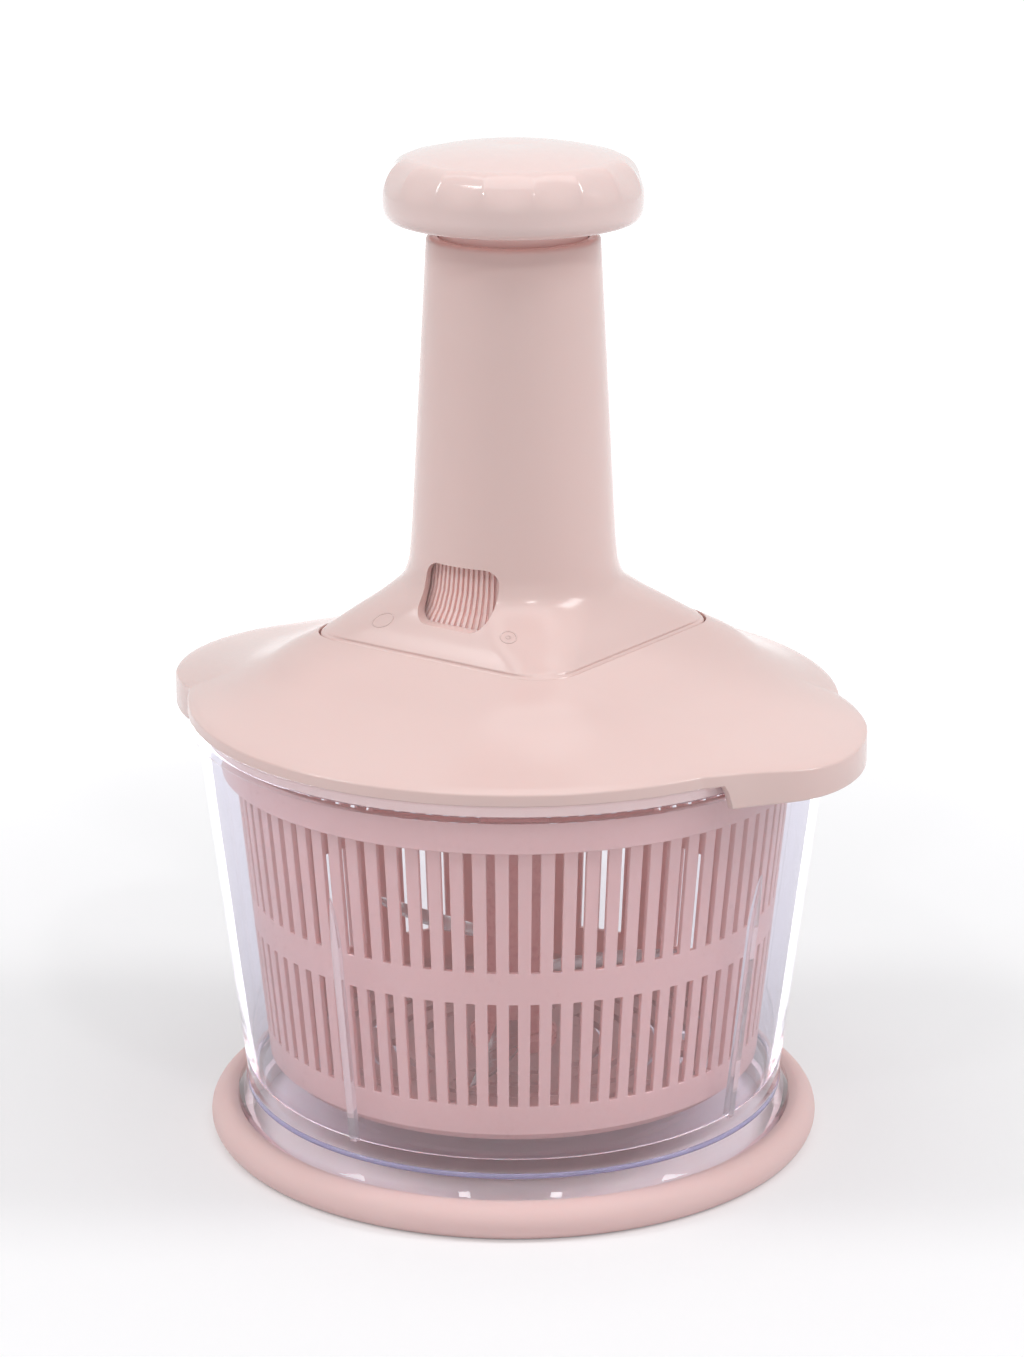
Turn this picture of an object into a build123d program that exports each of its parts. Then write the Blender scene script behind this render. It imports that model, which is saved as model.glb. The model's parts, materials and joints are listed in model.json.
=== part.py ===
from build123d import *
import math
import os

# Hand-press chopper and salad spinner. Millimetres, +Z up. The origin is the centre of the
# underside of the base ring. The lock slider faces -Y and the lid's two ears lie along X.

# ---------------------------------------------------------------- fits
gap = 0.3              # clearance between pieces that move past each other
shaft_gap = 0.05       # radial running fit of a shaft in its bush
seat_gap = 0.1         # clearance of a pushed-together seat
blend_step = 0.25      # tiny step where a lofted form meets a turned one

# ---------------------------------------------------------------- soft base ring
ring_outer_r = 97.0
ring_height = 11.0
ring_floor = 1.8       # soft material under the bowl's foot
ring_inner_r = 83.4
ring_edge = 3.2        # how far the rest face stays inside the widest radius

# ---------------------------------------------------------------- clear bowl
bowl_top_z = 139.0
bowl_rim_r = 97.0
bowl_rim_height = 5.6
bowl_top_r = 95.3      # outside of the wall just under the rim
bowl_base_r = 85.2     # outside of the wall at the floor
bowl_wall = 2.6
bowl_floor_z = 20.0    # top of the floor
bowl_floor = 3.0
foot_r = 88.4
foot_flare_z = 9.5     # where the foot's flare turns straight down
bowl_corner = 3.0
boss_height = 3.6
boss_r = 9.0
pin_r = 3.0
pin_length = 24.0
bowl_rib_count = 4
bowl_rib_width = 3.0
bowl_rib_depth = 3.0
bowl_rib_top_z = 102.0

# ---------------------------------------------------------------- spinning basket
basket_base_z = 24.0
basket_base_r = 77.6
basket_top_r = 87.6
basket_wall = 1.8
basket_floor = 2.4
basket_shoulder_z = 125.0
basket_rim_z = 131.0
basket_rim_r = 91.5
basket_rim = 3.0
basket_corner = 3.0
slot_count = 72
slot_width = 2.8
lower_slot_z = 36.0
lower_slot_height = 35.5
upper_slot_z = 81.0
upper_slot_height = 39.0
drain_first_r = 29.0
drain_pitch = 8.8
drain_rows = 5
drain_width = 2.6
drain_spokes = 6
spoke_width = 9.0
hub_flats = 13.0       # across the flats of the hexagonal hub
hub_height = 21.6

# ---------------------------------------------------------------- blade column
column_r = 11.0
column_top_z = 138.0
collar_r = 14.0
collar_height = 5.2
socket_flats = 10.4    # across the flats of the drive socket at the top
socket_depth = 17.0
blade_reach = 64.0
blade_thickness = 1.0
blade_root = 2.8       # how deep a blade is held in the column
blade_width = 15.0
blade_first_z = 36.0
blade_step = 12.0
blade_names = ("blade_lower", "blade_middle", "blade_upper")

# ---------------------------------------------------------------- lid
lid_r = 101.5
lid_edge = 4.0         # height of the rim's edge
lid_wall = 2.4
seam_z = 165.0         # height of the seam round the tower's foot plate
seam_gap = 0.5
lid_lip_r = 93.6
lid_lip = 2.0
ledge = 3.0            # shelf that the tower's foot plate rests on
plate_edge = 3.2       # height of the foot plate's edge
lid_opening_r = 36.0
ear_r = 116.5
ear_edge_z = 141.3     # height of the ear's outer edge
ear_skirt = 9.4
ear_wall = 2.2
ear_root_r = 88.0      # where an ear leaves the dome
ear_first = 34.0       # degrees, the sharp notch of the ear on the +X side
ear_last = -19.0       # degrees, the end that runs out softly

# ---------------------------------------------------------------- tower
tower_half = 46.5      # half the side of the square foot plate
tower_corner = 9.0
tower_wall = 2.2
tower_base_r = 31.3    # radius at the waist, where the flare begins
tower_waist_z = 198.0
tower_top_r = 26.4
tower_top_z = 288.5
tower_round = 1.6
collar_bore_height = 12.0
window_angle = -85.0   # degrees, the middle of the lock window
window_half_angle = 23.0
window_low_z = 173.0
window_high_z = 190.5

# ---------------------------------------------------------------- plunger and knob
stroke = 56.0
tube_r = 22.6
tube_wall = 2.0
tube_flange_r = 24.3
tube_flange = 3.0
tube_cap = 3.0
knob_r = 39.2
knob_base_r = 37.5
knob_bottom_z = 292.0
knob_height = 23.0
knob_wall = 2.4
flute_count = 16
flute_r = 12.0
flute_depth = 1.5

# ---------------------------------------------------------------- drive
screw_flats = 8.4      # side of the square twisted rod
screw_lead = 40.0      # rise for one turn
screw_top_z = 284.0
journal_r = 4.0
nut_height = 10.0
nut_flange = 2.5
bush_wall = 1.9
boss_wall = 2.4
bearing_boss = 8.2     # height of the bearing boss above the ledge
washer = 0.8
base_r = 53.0
base_plate = 3.0
well_r = 24.0
well_wall = 2.2
well_floor = 3.0
cup_floor = 3.0
ratchet_teeth = 12
ratchet_tooth = 1.8
pawl_count = 3
ratchet_r = 11.5
ratchet_height = 6.0
neck_r = 8.0
drive_flats = 10.0     # across the flats of the output hexagon
clip = 0.8
screw_pcr = 47.0       # radius that the four plate screws stand on
plate_screw_r = 1.6
plate_screw_head_r = 3.2
plate_screw_head = 2.2
small_screw_r = 1.3
small_screw_head_r = 2.5
small_screw_head = 1.6
bearing_screw_pcr = 29.0
knob_screw_pcr = 13.0
spring_r = 11.4
spring_wire = 1.6
spring_turns = 6

# ---------------------------------------------------------------- lock slider
lock_travel = 12.0     # degrees
lock_wall = 2.0
lock_rib = 1.2
lock_rib_pitch = 3.4   # degrees
lock_margin = 1.5      # how far the pad reaches past the window, above and below
lock_steps = 4         # straight stretches of the pad's outline
tongue_width = 6.0
tongue = 2.0

least_flat = 0.25      # half the flat that the roundest square keeps

# ---------------------------------------------------------------- worked out
ledge_top_z = seam_z - plate_edge
ledge_low_z = ledge_top_z - ledge
base_low_z = ledge_low_z - base_plate
collar_r_bore = tube_r + gap
stop_z = tower_top_z - collar_bore_height
tube_low_z = stop_z - gap - stroke - tube_flange
nut_low_z = tube_low_z - nut_flange
bearing_top_z = ledge_top_z + bearing_boss
bush_r = journal_r + shaft_gap + bush_wall
bearing_boss_r = bush_r + boss_wall
well_low_z = column_top_z + 1.7
cup_low_z = well_low_z + well_floor + gap
ratchet_low_z = cup_low_z + cup_floor + 0.6 + clip + 0.4
cup_r = well_r - well_wall - 0.5
tooth_root_r = cup_r - 2.0
knob_top_z = knob_bottom_z + knob_height
tube_top_z = knob_top_z - knob_height / 2
hub_top_z = basket_base_z + basket_floor + hub_height
column_low_z = basket_base_z + basket_floor
rest_angle = window_angle - lock_travel / 2
bowl_socket_z = bowl_top_z - bowl_rim_height + 1.2
lid_lip_z = bowl_socket_z + gap

# Foot plate of the tower, from the round waist down to the square edge:
# height, half side and corner radius of each section.
tower_sections = (
    (tower_waist_z, tower_base_r + blend_step, tower_base_r + blend_step),
    (seam_z + 26.0, tower_base_r + 0.5, tower_base_r + 0.4),
    (seam_z + 20.0, tower_base_r + 1.2, tower_base_r + 0.8),
    (seam_z + 15.0, tower_base_r + 2.6, tower_base_r - 0.4),
    (seam_z + 10.0, tower_base_r + 5.8, tower_corner + 16.0),
    (seam_z + 5.0, tower_half - 4.6, tower_corner + 9.0),
    (seam_z + 2.0, tower_half - 1.9, tower_corner + 4.0),
    (seam_z, tower_half, tower_corner),
)

# Dome of the lid, from the square seam out to the round rim.
lid_half = tower_half + seam_gap
lid_top_z = bowl_top_z + gap + lid_edge
dome_drop = seam_z - lid_top_z
dome_sections = (
    (seam_z, lid_half, tower_corner + seam_gap),
    (seam_z - 0.24 * dome_drop, lid_half + 10.5, tower_corner + 17.0),
    (seam_z - 0.52 * dome_drop, lid_half + 22.5, tower_corner + 37.0),
    (seam_z - 0.80 * dome_drop, lid_r - 15.0, lid_r - 25.0),
    (lid_top_z, lid_r - blend_step, lid_r - blend_step),
)


def turned(*points):
    """A body turned about Z from its half profile, given as (radius, height)."""
    return revolve(Plane.XZ * make_face(Polyline(*points, close=True)), Axis.Z)


def disc(radius, low, high):
    return Pos(0, 0, low) * extrude(Circle(radius), high - low)


def pipe(outer, inner, low, high):
    return disc(outer, low, high) - disc(inner, low - 1, high + 1)


def hexagon(flats, low, high):
    return Pos(0, 0, low) * extrude(RegularPolygon(flats / 2, 6, major_radius=False), high - low)


def polar(radius, degrees):
    a = math.radians(degrees)
    return (radius * math.cos(a), radius * math.sin(a))


def rounded_square(half, corner):
    """Square with round corners, or nearly a circle where the corner is as large as half."""
    return RectangleRounded(2 * half, 2 * half, min(corner, half - least_flat))


def block(half, corner, low, high):
    """Upright block over a rounded square."""
    return Pos(0, 0, low) * extrude(rounded_square(half, corner), high - low)


def through_sections(sections, inset=0.0, drop=0.0, straight=False):
    """A body through rounded squares, each inset and lowered by the same amount."""
    faces = [
        Pos(0, 0, z - drop) * rounded_square(half - inset, corner - inset)
        for z, half, corner in sections
    ]
    return loft(faces, ruled=straight)


def around(count, radius, start=0.0):
    return [Rot(0, 0, start + 360 * i / count) * Pos(radius, 0, 0) for i in range(count)]


def screws(radius, head_r, head, low, high, places, head_up=False):
    """Identical pan-head screws, their heads at the low end unless head_up."""
    if head_up:
        one = disc(radius, low, high) + disc(head_r, high, high + head)
        rim = one.edges().filter_by(GeomType.CIRCLE).sort_by(Axis.Z)[-1]
    else:
        one = disc(radius, low, high) + disc(head_r, low - head, low)
        rim = one.edges().filter_by(GeomType.CIRCLE).sort_by(Axis.Z)[0]
    one = chamfer(rim, head * 0.3)
    return Compound(children=[(place * one).solid() for place in places])


# ---------------------------------------------------------------- bowl and base
def base_ring():
    rest_r = ring_outer_r - ring_edge
    top_r = foot_r + seat_gap + 2.4
    outline = (
        Polyline((top_r - 2.4, ring_height - 0.8), (top_r, ring_height))
        + ThreePointArc((top_r, ring_height), (ring_outer_r, 0.46 * ring_height), (rest_r, 0))
        + Polyline((rest_r, 0), (ring_inner_r, 0), (ring_inner_r, 0.6 * ring_height),
                   (foot_r - bowl_wall - seat_gap, 0.6 * ring_height),
                   (foot_r - bowl_wall - seat_gap, ring_floor),
                   (foot_r + seat_gap, ring_floor), (foot_r + seat_gap, ring_height - 0.8))
    )
    return revolve(Plane.XZ * make_face(outline), Axis.Z)


def wall_radius(z):
    """Inner radius of the bowl's wall at a height."""
    low = bowl_floor_z - bowl_floor / 2
    high = bowl_top_z - bowl_rim_height
    outer = bowl_base_r + (bowl_top_r - bowl_base_r) * (z - low) / (high - low)
    return outer - bowl_wall


def bowl():
    low = bowl_floor_z - bowl_floor / 2
    rim_low = bowl_top_z - bowl_rim_height
    rim_inner = lid_lip_r + 0.4
    shell = turned(
        (0, bowl_floor_z - bowl_floor),
        (bowl_base_r - bowl_wall - 1, bowl_floor_z - bowl_floor),
        (foot_r - bowl_wall, foot_flare_z),
        (foot_r - bowl_wall, ring_floor),
        (foot_r, ring_floor),
        (foot_r, foot_flare_z),
        (bowl_base_r, low),
        (bowl_top_r, rim_low),
        (bowl_rim_r, rim_low + 0.8),
        (bowl_rim_r, bowl_top_z),
        (rim_inner, bowl_top_z),
        (rim_inner, bowl_socket_z),
        (wall_radius(rim_low), rim_low),
        (wall_radius(bowl_floor_z + bowl_corner), bowl_floor_z + bowl_corner),
        (wall_radius(bowl_floor_z) - bowl_corner, bowl_floor_z),
        (0, bowl_floor_z),
    )
    boss = Pos(0, 0, bowl_floor_z - 1) * Cone(boss_r + 1, boss_r - 1, boss_height + 1,
                                              align=(Align.CENTER, Align.CENTER, Align.MIN))
    body = shell + boss
    for place in around(bowl_rib_count, 0):
        body += place * bowl_rib()
    return body - disc(pin_r, bowl_floor_z, bowl_floor_z + boss_height + 1)


def bowl_rib():
    """Upright rib on the wall, with a pointed top that curves into the wall."""
    foot_z = bowl_floor_z - 0.5
    turn_z = bowl_rib_top_z - 14
    sunk = 0.6
    outline = (
        Polyline((wall_radius(bowl_rib_top_z) + sunk, bowl_rib_top_z),
                 (wall_radius(foot_z) + sunk, foot_z),
                 (wall_radius(foot_z) - bowl_corner - bowl_rib_depth / 2, foot_z),
                 (wall_radius(bowl_floor_z + 4) - bowl_rib_depth, bowl_floor_z + 4),
                 (wall_radius(turn_z) - bowl_rib_depth, turn_z))
        + ThreePointArc((wall_radius(turn_z) - bowl_rib_depth, turn_z),
                        (wall_radius(turn_z + 8) - 0.55 * bowl_rib_depth, turn_z + 8),
                        (wall_radius(bowl_rib_top_z) + sunk, bowl_rib_top_z))
    )
    return extrude(Plane.XZ * make_face(outline), bowl_rib_width / 2, both=True)


def pivot_pin():
    pin = disc(pin_r, bowl_floor_z, bowl_floor_z + pin_length)
    return chamfer(pin.edges().sort_by(Axis.Z)[-1], 0.6)


# ---------------------------------------------------------------- basket
def basket_radius(z):
    """Outer radius of the basket's wall at a height."""
    share = (z - basket_base_z) / (basket_shoulder_z - basket_base_z)
    return basket_base_r + (basket_top_r - basket_base_r) * share


def basket_shell():
    floor_top = basket_base_z + basket_floor
    return turned(
        (0, basket_base_z),
        (basket_base_r - basket_corner, basket_base_z),
        (basket_radius(basket_base_z + basket_corner), basket_base_z + basket_corner),
        (basket_top_r, basket_shoulder_z),
        (basket_rim_r, basket_rim_z - basket_rim),
        (basket_rim_r, basket_rim_z),
        (basket_rim_r - basket_wall, basket_rim_z),
        (basket_rim_r - basket_wall, basket_rim_z - basket_rim + 0.8),
        (basket_top_r - basket_wall, basket_shoulder_z + 0.8),
        (basket_radius(floor_top) - basket_wall, floor_top + 1.2),
        (basket_radius(floor_top) - basket_wall - 2, floor_top),
        (0, floor_top),
    )


def slot_cutters(low, height):
    cutter = Box(4 * basket_wall, slot_width, height, align=(Align.CENTER, Align.CENTER, Align.MIN))
    middle_r = basket_radius(low + height / 2) - basket_wall / 2
    return [place * Pos(0, 0, low) * cutter for place in around(slot_count, middle_r, 2.5)]


def drain_cutters():
    """Concentric slots in the floor, broken by radial spokes."""
    low = basket_base_z - 1
    high = basket_base_z + basket_floor + 1
    rings = Part()
    for row in range(drain_rows):
        r = drain_first_r + row * drain_pitch
        rings += pipe(r + drain_width / 2, r - drain_width / 2, low, high)
    reach = drain_first_r + drain_rows * drain_pitch
    for i in range(drain_spokes):
        spoke = Box(reach, spoke_width, 20, align=(Align.MIN, Align.CENTER, Align.CENTER))
        rings -= Rot(0, 0, 30 + 360 * i / drain_spokes) * Pos(0, 0, basket_base_z) * spoke
    return rings


def basket():
    cutters = slot_cutters(lower_slot_z, lower_slot_height)
    cutters += slot_cutters(upper_slot_z, upper_slot_height)
    body = basket_shell() - cutters - drain_cutters()
    body += hexagon(hub_flats, basket_base_z + basket_floor / 2, hub_top_z)
    bore_top = bowl_floor_z + pin_length + 0.6
    return body - disc(pin_r + shaft_gap, basket_base_z - 1, bore_top)


# ---------------------------------------------------------------- blade column
def blade(index):
    """Sickle blade with a ground cutting edge, its root held in the column."""
    root = column_r - blade_root
    half = blade_width / 2
    tip = (blade_reach, -half * 0.9)
    back = ThreePointArc((root, half * 0.55), (0.55 * blade_reach, half * 0.62), tip)
    edge = ThreePointArc(tip, (0.62 * blade_reach, -half * 0.72), (column_r + 3, -half * 0.55))
    heel = Polyline((column_r + 3, -half * 0.55), (root, -half * 0.55), (root, half * 0.55))
    plate = extrude(make_face(back + edge + heel), blade_thickness)
    cutting = plate.edges().filter_by(GeomType.CIRCLE).group_by(Axis.Z)[-1].sort_by(Axis.Y)[0]
    plate = chamfer(cutting, 0.7 * blade_thickness, 2.2)
    place = Rot(0, 0, -60 + 120 * index) * Pos(0, 0, blade_first_z + index * blade_step)
    return place * plate


def blade_column(blades):
    body = disc(column_r, column_low_z, column_top_z)
    body = chamfer(body.edges().sort_by(Axis.Z)[-1], 1.0)
    body -= hexagon(hub_flats + 2 * seat_gap, column_low_z - 1, hub_top_z + 0.5)
    body -= hexagon(socket_flats, column_top_z - socket_depth, column_top_z + 1)
    for piece in blades:
        body -= piece
    return body


def column_collar():
    ring = pipe(collar_r, column_r + shaft_gap, column_low_z, column_low_z + collar_height)
    rim = ring.edges().filter_by(GeomType.CIRCLE).group_by(Axis.Z)[-1].sort_by(SortBy.RADIUS)[-1]
    return chamfer(rim, 1.4)


# ---------------------------------------------------------------- lid
def ear_plan(inset, inner_r):
    """Outline of one ear in plan, moved inwards by inset and closed at inner_r."""
    turn = math.degrees(inset / lid_r)
    span = ear_first - ear_last
    shares = ((1.0, 0.0), (0.9, 0.30), (0.75, 0.66), (0.52, 0.98), (0.32, 0.9), (0.14, 0.38), (0.0, 0.0))
    points = [
        polar(lid_r - 0.8 - inset + share * (ear_r - lid_r + 0.8),
              ear_last + turn + t * (span - 2 * turn))
        for t, share in shares
    ]
    start, end = points[0], points[-1]
    first = polar(inner_r, ear_first - turn)
    last = polar(inner_r, ear_last + turn)
    return make_face(Spline(*points) + Polyline(end, last, first, start))


def ear():
    """Finger tab with a flat top that leaves the dome and a deep skirt, hollow underneath."""
    low = ear_edge_z - ear_skirt
    root_z = lid_top_z + 4.6
    top = turned((ear_root_r - 8, low), (ear_r + 2, low), (ear_r + 2, ear_edge_z - 0.3),
                 (ear_r - 1, ear_edge_z), (ear_root_r, root_z), (ear_root_r - 8, root_z + 1))
    block = Pos(0, 0, low) * extrude(ear_plan(0, ear_root_r - 4), 30) & top
    inner = Pos(0, 0, low - 1) * extrude(ear_plan(ear_wall, ear_root_r - 6), 31)
    inner &= Pos(0, 0, -lid_wall) * top + disc(ear_r + 2, low - 2, low + 1)
    inner &= disc(ear_r + 2, low - 2, lid_top_z - lid_edge) + pipe(ear_r + 2, lid_r - 1.5, low - 2, 200)
    return block - inner - disc(bowl_rim_r + 0.6, low - 1, bowl_top_z + gap)


def lid():
    dome = through_sections(dome_sections)
    rim_low = bowl_top_z + gap
    rim = disc(lid_r, rim_low, lid_top_z)
    body = dome + chamfer(rim.edges().sort_by(Axis.Z)[0], 0.8)
    for turn in (0, 180):
        body += Rot(0, 0, turn) * ear()
    hollow = through_sections(dome_sections, 0, lid_wall, straight=True)
    hollow &= disc(lid_lip_r - lid_lip, rim_low - 5, 200)
    hollow += disc(lid_lip_r - lid_lip, rim_low - 5, lid_top_z - lid_wall)
    hollow -= disc(lid_opening_r + 40, ledge_low_z, 200)
    body -= hollow
    body += pipe(lid_lip_r, lid_lip_r - lid_lip, lid_lip_z, rim_low + 1)
    body -= block(lid_half, tower_corner + seam_gap, ledge_top_z, ledge_top_z + 20)
    body -= disc(lid_opening_r, ledge_low_z - 5, 200)
    for place in around(4, screw_pcr, 45):
        body -= place * disc(plate_screw_r + 0.2, ledge_low_z - 1, 200)
    return body


# ---------------------------------------------------------------- tower
def tower_radius(z):
    """Outer radius of the round part of the tower at a height."""
    share = (z - tower_waist_z) / (tower_top_z - tower_waist_z)
    return tower_base_r + (tower_top_r - tower_base_r) * share


def tower_outer():
    plate = block(tower_half, tower_corner, ledge_top_z, seam_z)
    grip = turned((0, tower_waist_z), (tower_base_r, tower_waist_z), (tower_top_r, tower_top_z),
                  (0, tower_top_z))
    grip = fillet(grip.edges().sort_by(Axis.Z)[-1], tower_round)
    return plate + through_sections(tower_sections) + grip


def tower_void():
    """Inside of the tower: the flare, the bore, and the narrower collar at the top."""
    void = block(tower_half - tower_wall, tower_corner - tower_wall, ledge_top_z - 1, seam_z - tower_wall)
    void += through_sections(tower_sections, tower_wall, tower_wall, straight=True)
    for place in around(4, screw_pcr, 45):
        void -= place * disc(plate_screw_r + 2.2, ledge_top_z - 2, seam_z + 20)
    bore_low_z = tower_waist_z - tower_wall
    return void + turned(
        (0, bore_low_z), (tower_base_r - tower_wall, bore_low_z),
        (tower_radius(stop_z) - tower_wall, stop_z), (collar_r_bore, stop_z),
        (collar_r_bore, tower_top_z + 1), (0, tower_top_z + 1))


def lock_window():
    """Rounded opening for the lock slider, as wide at every height as its angle."""
    width = 2 * tower_base_r * math.sin(math.radians(window_half_angle))
    height = window_high_z - window_low_z
    shape = RectangleRounded(width, height, 5.0)
    middle = (window_low_z + window_high_z) / 2
    cutter = extrude(Plane.YZ * shape, tower_half)
    return Rot(0, 0, window_angle) * Pos(tower_base_r - 12, 0, middle) * cutter


def tower_housing():
    body = tower_outer() - tower_void()
    for place in around(4, screw_pcr, 45):
        body -= place * disc(plate_screw_r, ledge_top_z - 1, seam_z + 2.5)
    return body - lock_window()


# ---------------------------------------------------------------- drive base
def drive_base():
    """Plate under the lid's shelf, with the well that holds the output coupling."""
    body = disc(base_r, base_low_z, ledge_low_z) + disc(well_r, well_low_z, ledge_low_z)
    body -= disc(well_r - well_wall, well_low_z + well_floor, ledge_low_z + 1)
    body -= disc(neck_r + gap, well_low_z - 1, ledge_low_z)
    for place in around(4, screw_pcr, 45):
        body -= place * disc(plate_screw_r + 0.2, base_low_z - 1, ledge_low_z + 1)
    for place in around(3, bearing_screw_pcr):
        body -= place * disc(small_screw_r, base_low_z - 1, ledge_low_z + 1)
    return body


def bearing_housing():
    body = disc(lid_opening_r - seam_gap, ledge_low_z, ledge_top_z)
    body += disc(bearing_boss_r, ledge_low_z, bearing_top_z)
    body -= disc(bush_r, ledge_low_z - 1, bearing_top_z + 1)
    for place in around(3, bearing_screw_pcr):
        body -= place * disc(small_screw_r + 0.2, ledge_low_z - 1, ledge_top_z + 1)
    return body


def bearing_bush():
    body = disc(bush_r, ledge_low_z - 1.2, bearing_top_z) + disc(bush_r + 1.6, ledge_low_z - 1.2, ledge_low_z)
    return body - disc(journal_r + shaft_gap, ledge_low_z - 2, bearing_top_z + 1)


def thrust_washer():
    return pipe(bush_r + 0.8, journal_r + shaft_gap, bearing_top_z, bearing_top_z + washer)


def plate_screws():
    return screws(plate_screw_r, plate_screw_head_r, plate_screw_head, base_low_z, seam_z + 2,
                  around(4, screw_pcr, 45))


def bearing_screws():
    return screws(small_screw_r, small_screw_head_r, small_screw_head, base_low_z + 0.3, ledge_top_z,
                  around(3, bearing_screw_pcr), head_up=True)


# ---------------------------------------------------------------- turning drive parts
def twisted_bar(flats, low, high):
    """Square bar twisted with the screw's lead. Its angle at a height doesn't depend on low."""
    start = 360 * (low - bearing_top_z) / screw_lead
    angle = 360 * (high - low) / screw_lead
    section = Pos(0, 0, low) * Rot(0, 0, start) * Rectangle(flats, flats)
    return Solid.extrude_linear_with_rotation(section.face(), (0, 0, low), (0, 0, high - low), angle)


def drive_screw():
    shoulder_z = bearing_top_z + washer + gap
    end_z = cup_low_z + cup_floor + 0.6
    body = disc(journal_r, end_z, shoulder_z + 1)
    body += disc(bush_r + 0.6, shoulder_z, shoulder_z + 2)
    body += twisted_bar(screw_flats, shoulder_z + 2, screw_top_z)
    flat = Box(20, 20, ratchet_height + 1.2 + clip, align=(Align.CENTER, Align.CENTER, Align.MIN))
    square = Pos(0, 0, ratchet_low_z) * extrude(Rectangle(6, 6), ratchet_height + 3)
    cut = Pos(0, 0, ratchet_low_z) * flat - square
    body -= cut & disc(20, ratchet_low_z, ratchet_low_z + ratchet_height + 0.2)
    groove = disc(journal_r + 1, ratchet_low_z - clip, ratchet_low_z)
    groove -= disc(journal_r - 1.2, ratchet_low_z - clip, ratchet_low_z)
    return body - groove


def ratchet_disc():
    body = disc(ratchet_r, ratchet_low_z, ratchet_low_z + ratchet_height)
    body = chamfer(body.edges().sort_by(Axis.Z)[-1], 0.8)
    return body - Pos(0, 0, ratchet_low_z - 1) * extrude(Rectangle(6 + seat_gap, 6 + seat_gap), 20)


def pawl_ring():
    """Ring with sprung pawls, pressed on the ratchet disc."""
    low = ratchet_low_z + 1
    high = low + 3.6
    body = pipe(ratchet_r + 1.6, ratchet_r + shaft_gap, low, high)
    tip_r = tooth_root_r - ratchet_tooth - 0.5
    for i in range(pawl_count):
        turn = 360 * i / pawl_count
        outline = Polyline(polar(ratchet_r + 0.8, turn), polar(ratchet_r + 2.4, turn + 18),
                           polar(tip_r, turn + 44), polar(tip_r - 1.4, turn + 46),
                           polar(ratchet_r + 0.9, turn + 16), close=True)
        body += Pos(0, 0, low) * extrude(make_face(outline), high - low)
    return body - disc(ratchet_r + shaft_gap, low - 1, high + 1)


def retaining_clip():
    low = ratchet_low_z - clip
    ring = pipe(journal_r + 2.6, journal_r - 1.2 + shaft_gap, low, ratchet_low_z)
    mouth = Box(10, 4.6, 4, align=(Align.MIN, Align.CENTER, Align.CENTER))
    return ring - Pos(0, 0, low) * mouth


def drive_coupling():
    """Output cup with inner ratchet teeth, a neck through the well and a drive hexagon."""
    wall_top = base_low_z + 1.2
    tooth_low = cup_low_z + cup_floor
    body = disc(cup_r, cup_low_z, wall_top)
    profile = []
    step = 360 / ratchet_teeth
    for i in range(ratchet_teeth):
        profile.append(polar(tooth_root_r, i * step))
        profile.append(polar(tooth_root_r - ratchet_tooth, i * step + 0.5))
    body -= Pos(0, 0, tooth_low) * extrude(make_face(Polyline(*profile, close=True)), 30)
    body += disc(neck_r, column_top_z + 0.4, cup_low_z + 0.5)
    return body + hexagon(drive_flats, column_top_z - socket_depth + 1, column_top_z + 1)


def return_spring():
    low = ledge_top_z
    high = nut_low_z
    wire = spring_wire / 2
    pitch = (high - low - spring_wire) / spring_turns
    path = Pos(0, 0, low + wire) * Helix(pitch, high - low - spring_wire, spring_r)
    section = Plane(path @ 0, x_dir=(1, 0, 0), z_dir=path % 0) * RegularPolygon(wire, 6)
    return sweep(section, path)


# ---------------------------------------------------------------- plunger and knob
def plunger_tube():
    body = disc(tube_r, tube_low_z, tube_top_z) + disc(tube_flange_r, tube_low_z, tube_low_z + tube_flange)
    body -= disc(tube_r - tube_wall, tube_low_z - 1, tube_top_z - tube_cap)
    notch_angle = lock_travel / 2 + math.degrees(tongue_width / 2 / tube_r) + 4
    notch = pipe(tube_flange_r + 5, tube_r, tube_low_z - 1, tube_low_z + tube_flange + 1)
    wedge = make_face(Polyline((0, 0), polar(60, window_angle - notch_angle),
                               polar(60, window_angle + notch_angle), close=True))
    body -= notch & Pos(0, 0, tube_low_z - 2) * extrude(wedge, tube_flange + 4)
    for place in around(3, knob_screw_pcr):
        body -= place * disc(small_screw_r + 0.2, tube_top_z - tube_cap - 1, tube_top_z + 1)
    return body


def drive_nut():
    body = disc(tube_r - 0.2, nut_low_z, tube_low_z)
    body += disc(tube_r - tube_wall - shaft_gap, tube_low_z, nut_low_z + nut_height)
    return body - twisted_bar(screw_flats + 2 * gap, nut_low_z - 1, nut_low_z + nut_height + 1)


def knob_outline():
    """Half profile of the mushroom knob: flat crown, round shoulder and a short taper."""
    shoulder = (knob_r - 8.0, knob_top_z - 3.6)
    widest = (knob_r, knob_bottom_z + 0.42 * knob_height)
    foot = (knob_base_r, knob_bottom_z)
    crown = ThreePointArc((0, knob_top_z), (0.5 * knob_r, knob_top_z - 0.9), shoulder)
    side = ThreePointArc(shoulder, (knob_r - 1.9, knob_top_z - 7.4), widest)
    lower = ThreePointArc(widest, (knob_r - 0.35, knob_bottom_z + 0.22 * knob_height), foot)
    return make_face(crown + side + lower + Polyline(foot, (0, knob_bottom_z), (0, knob_top_z)))


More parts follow.
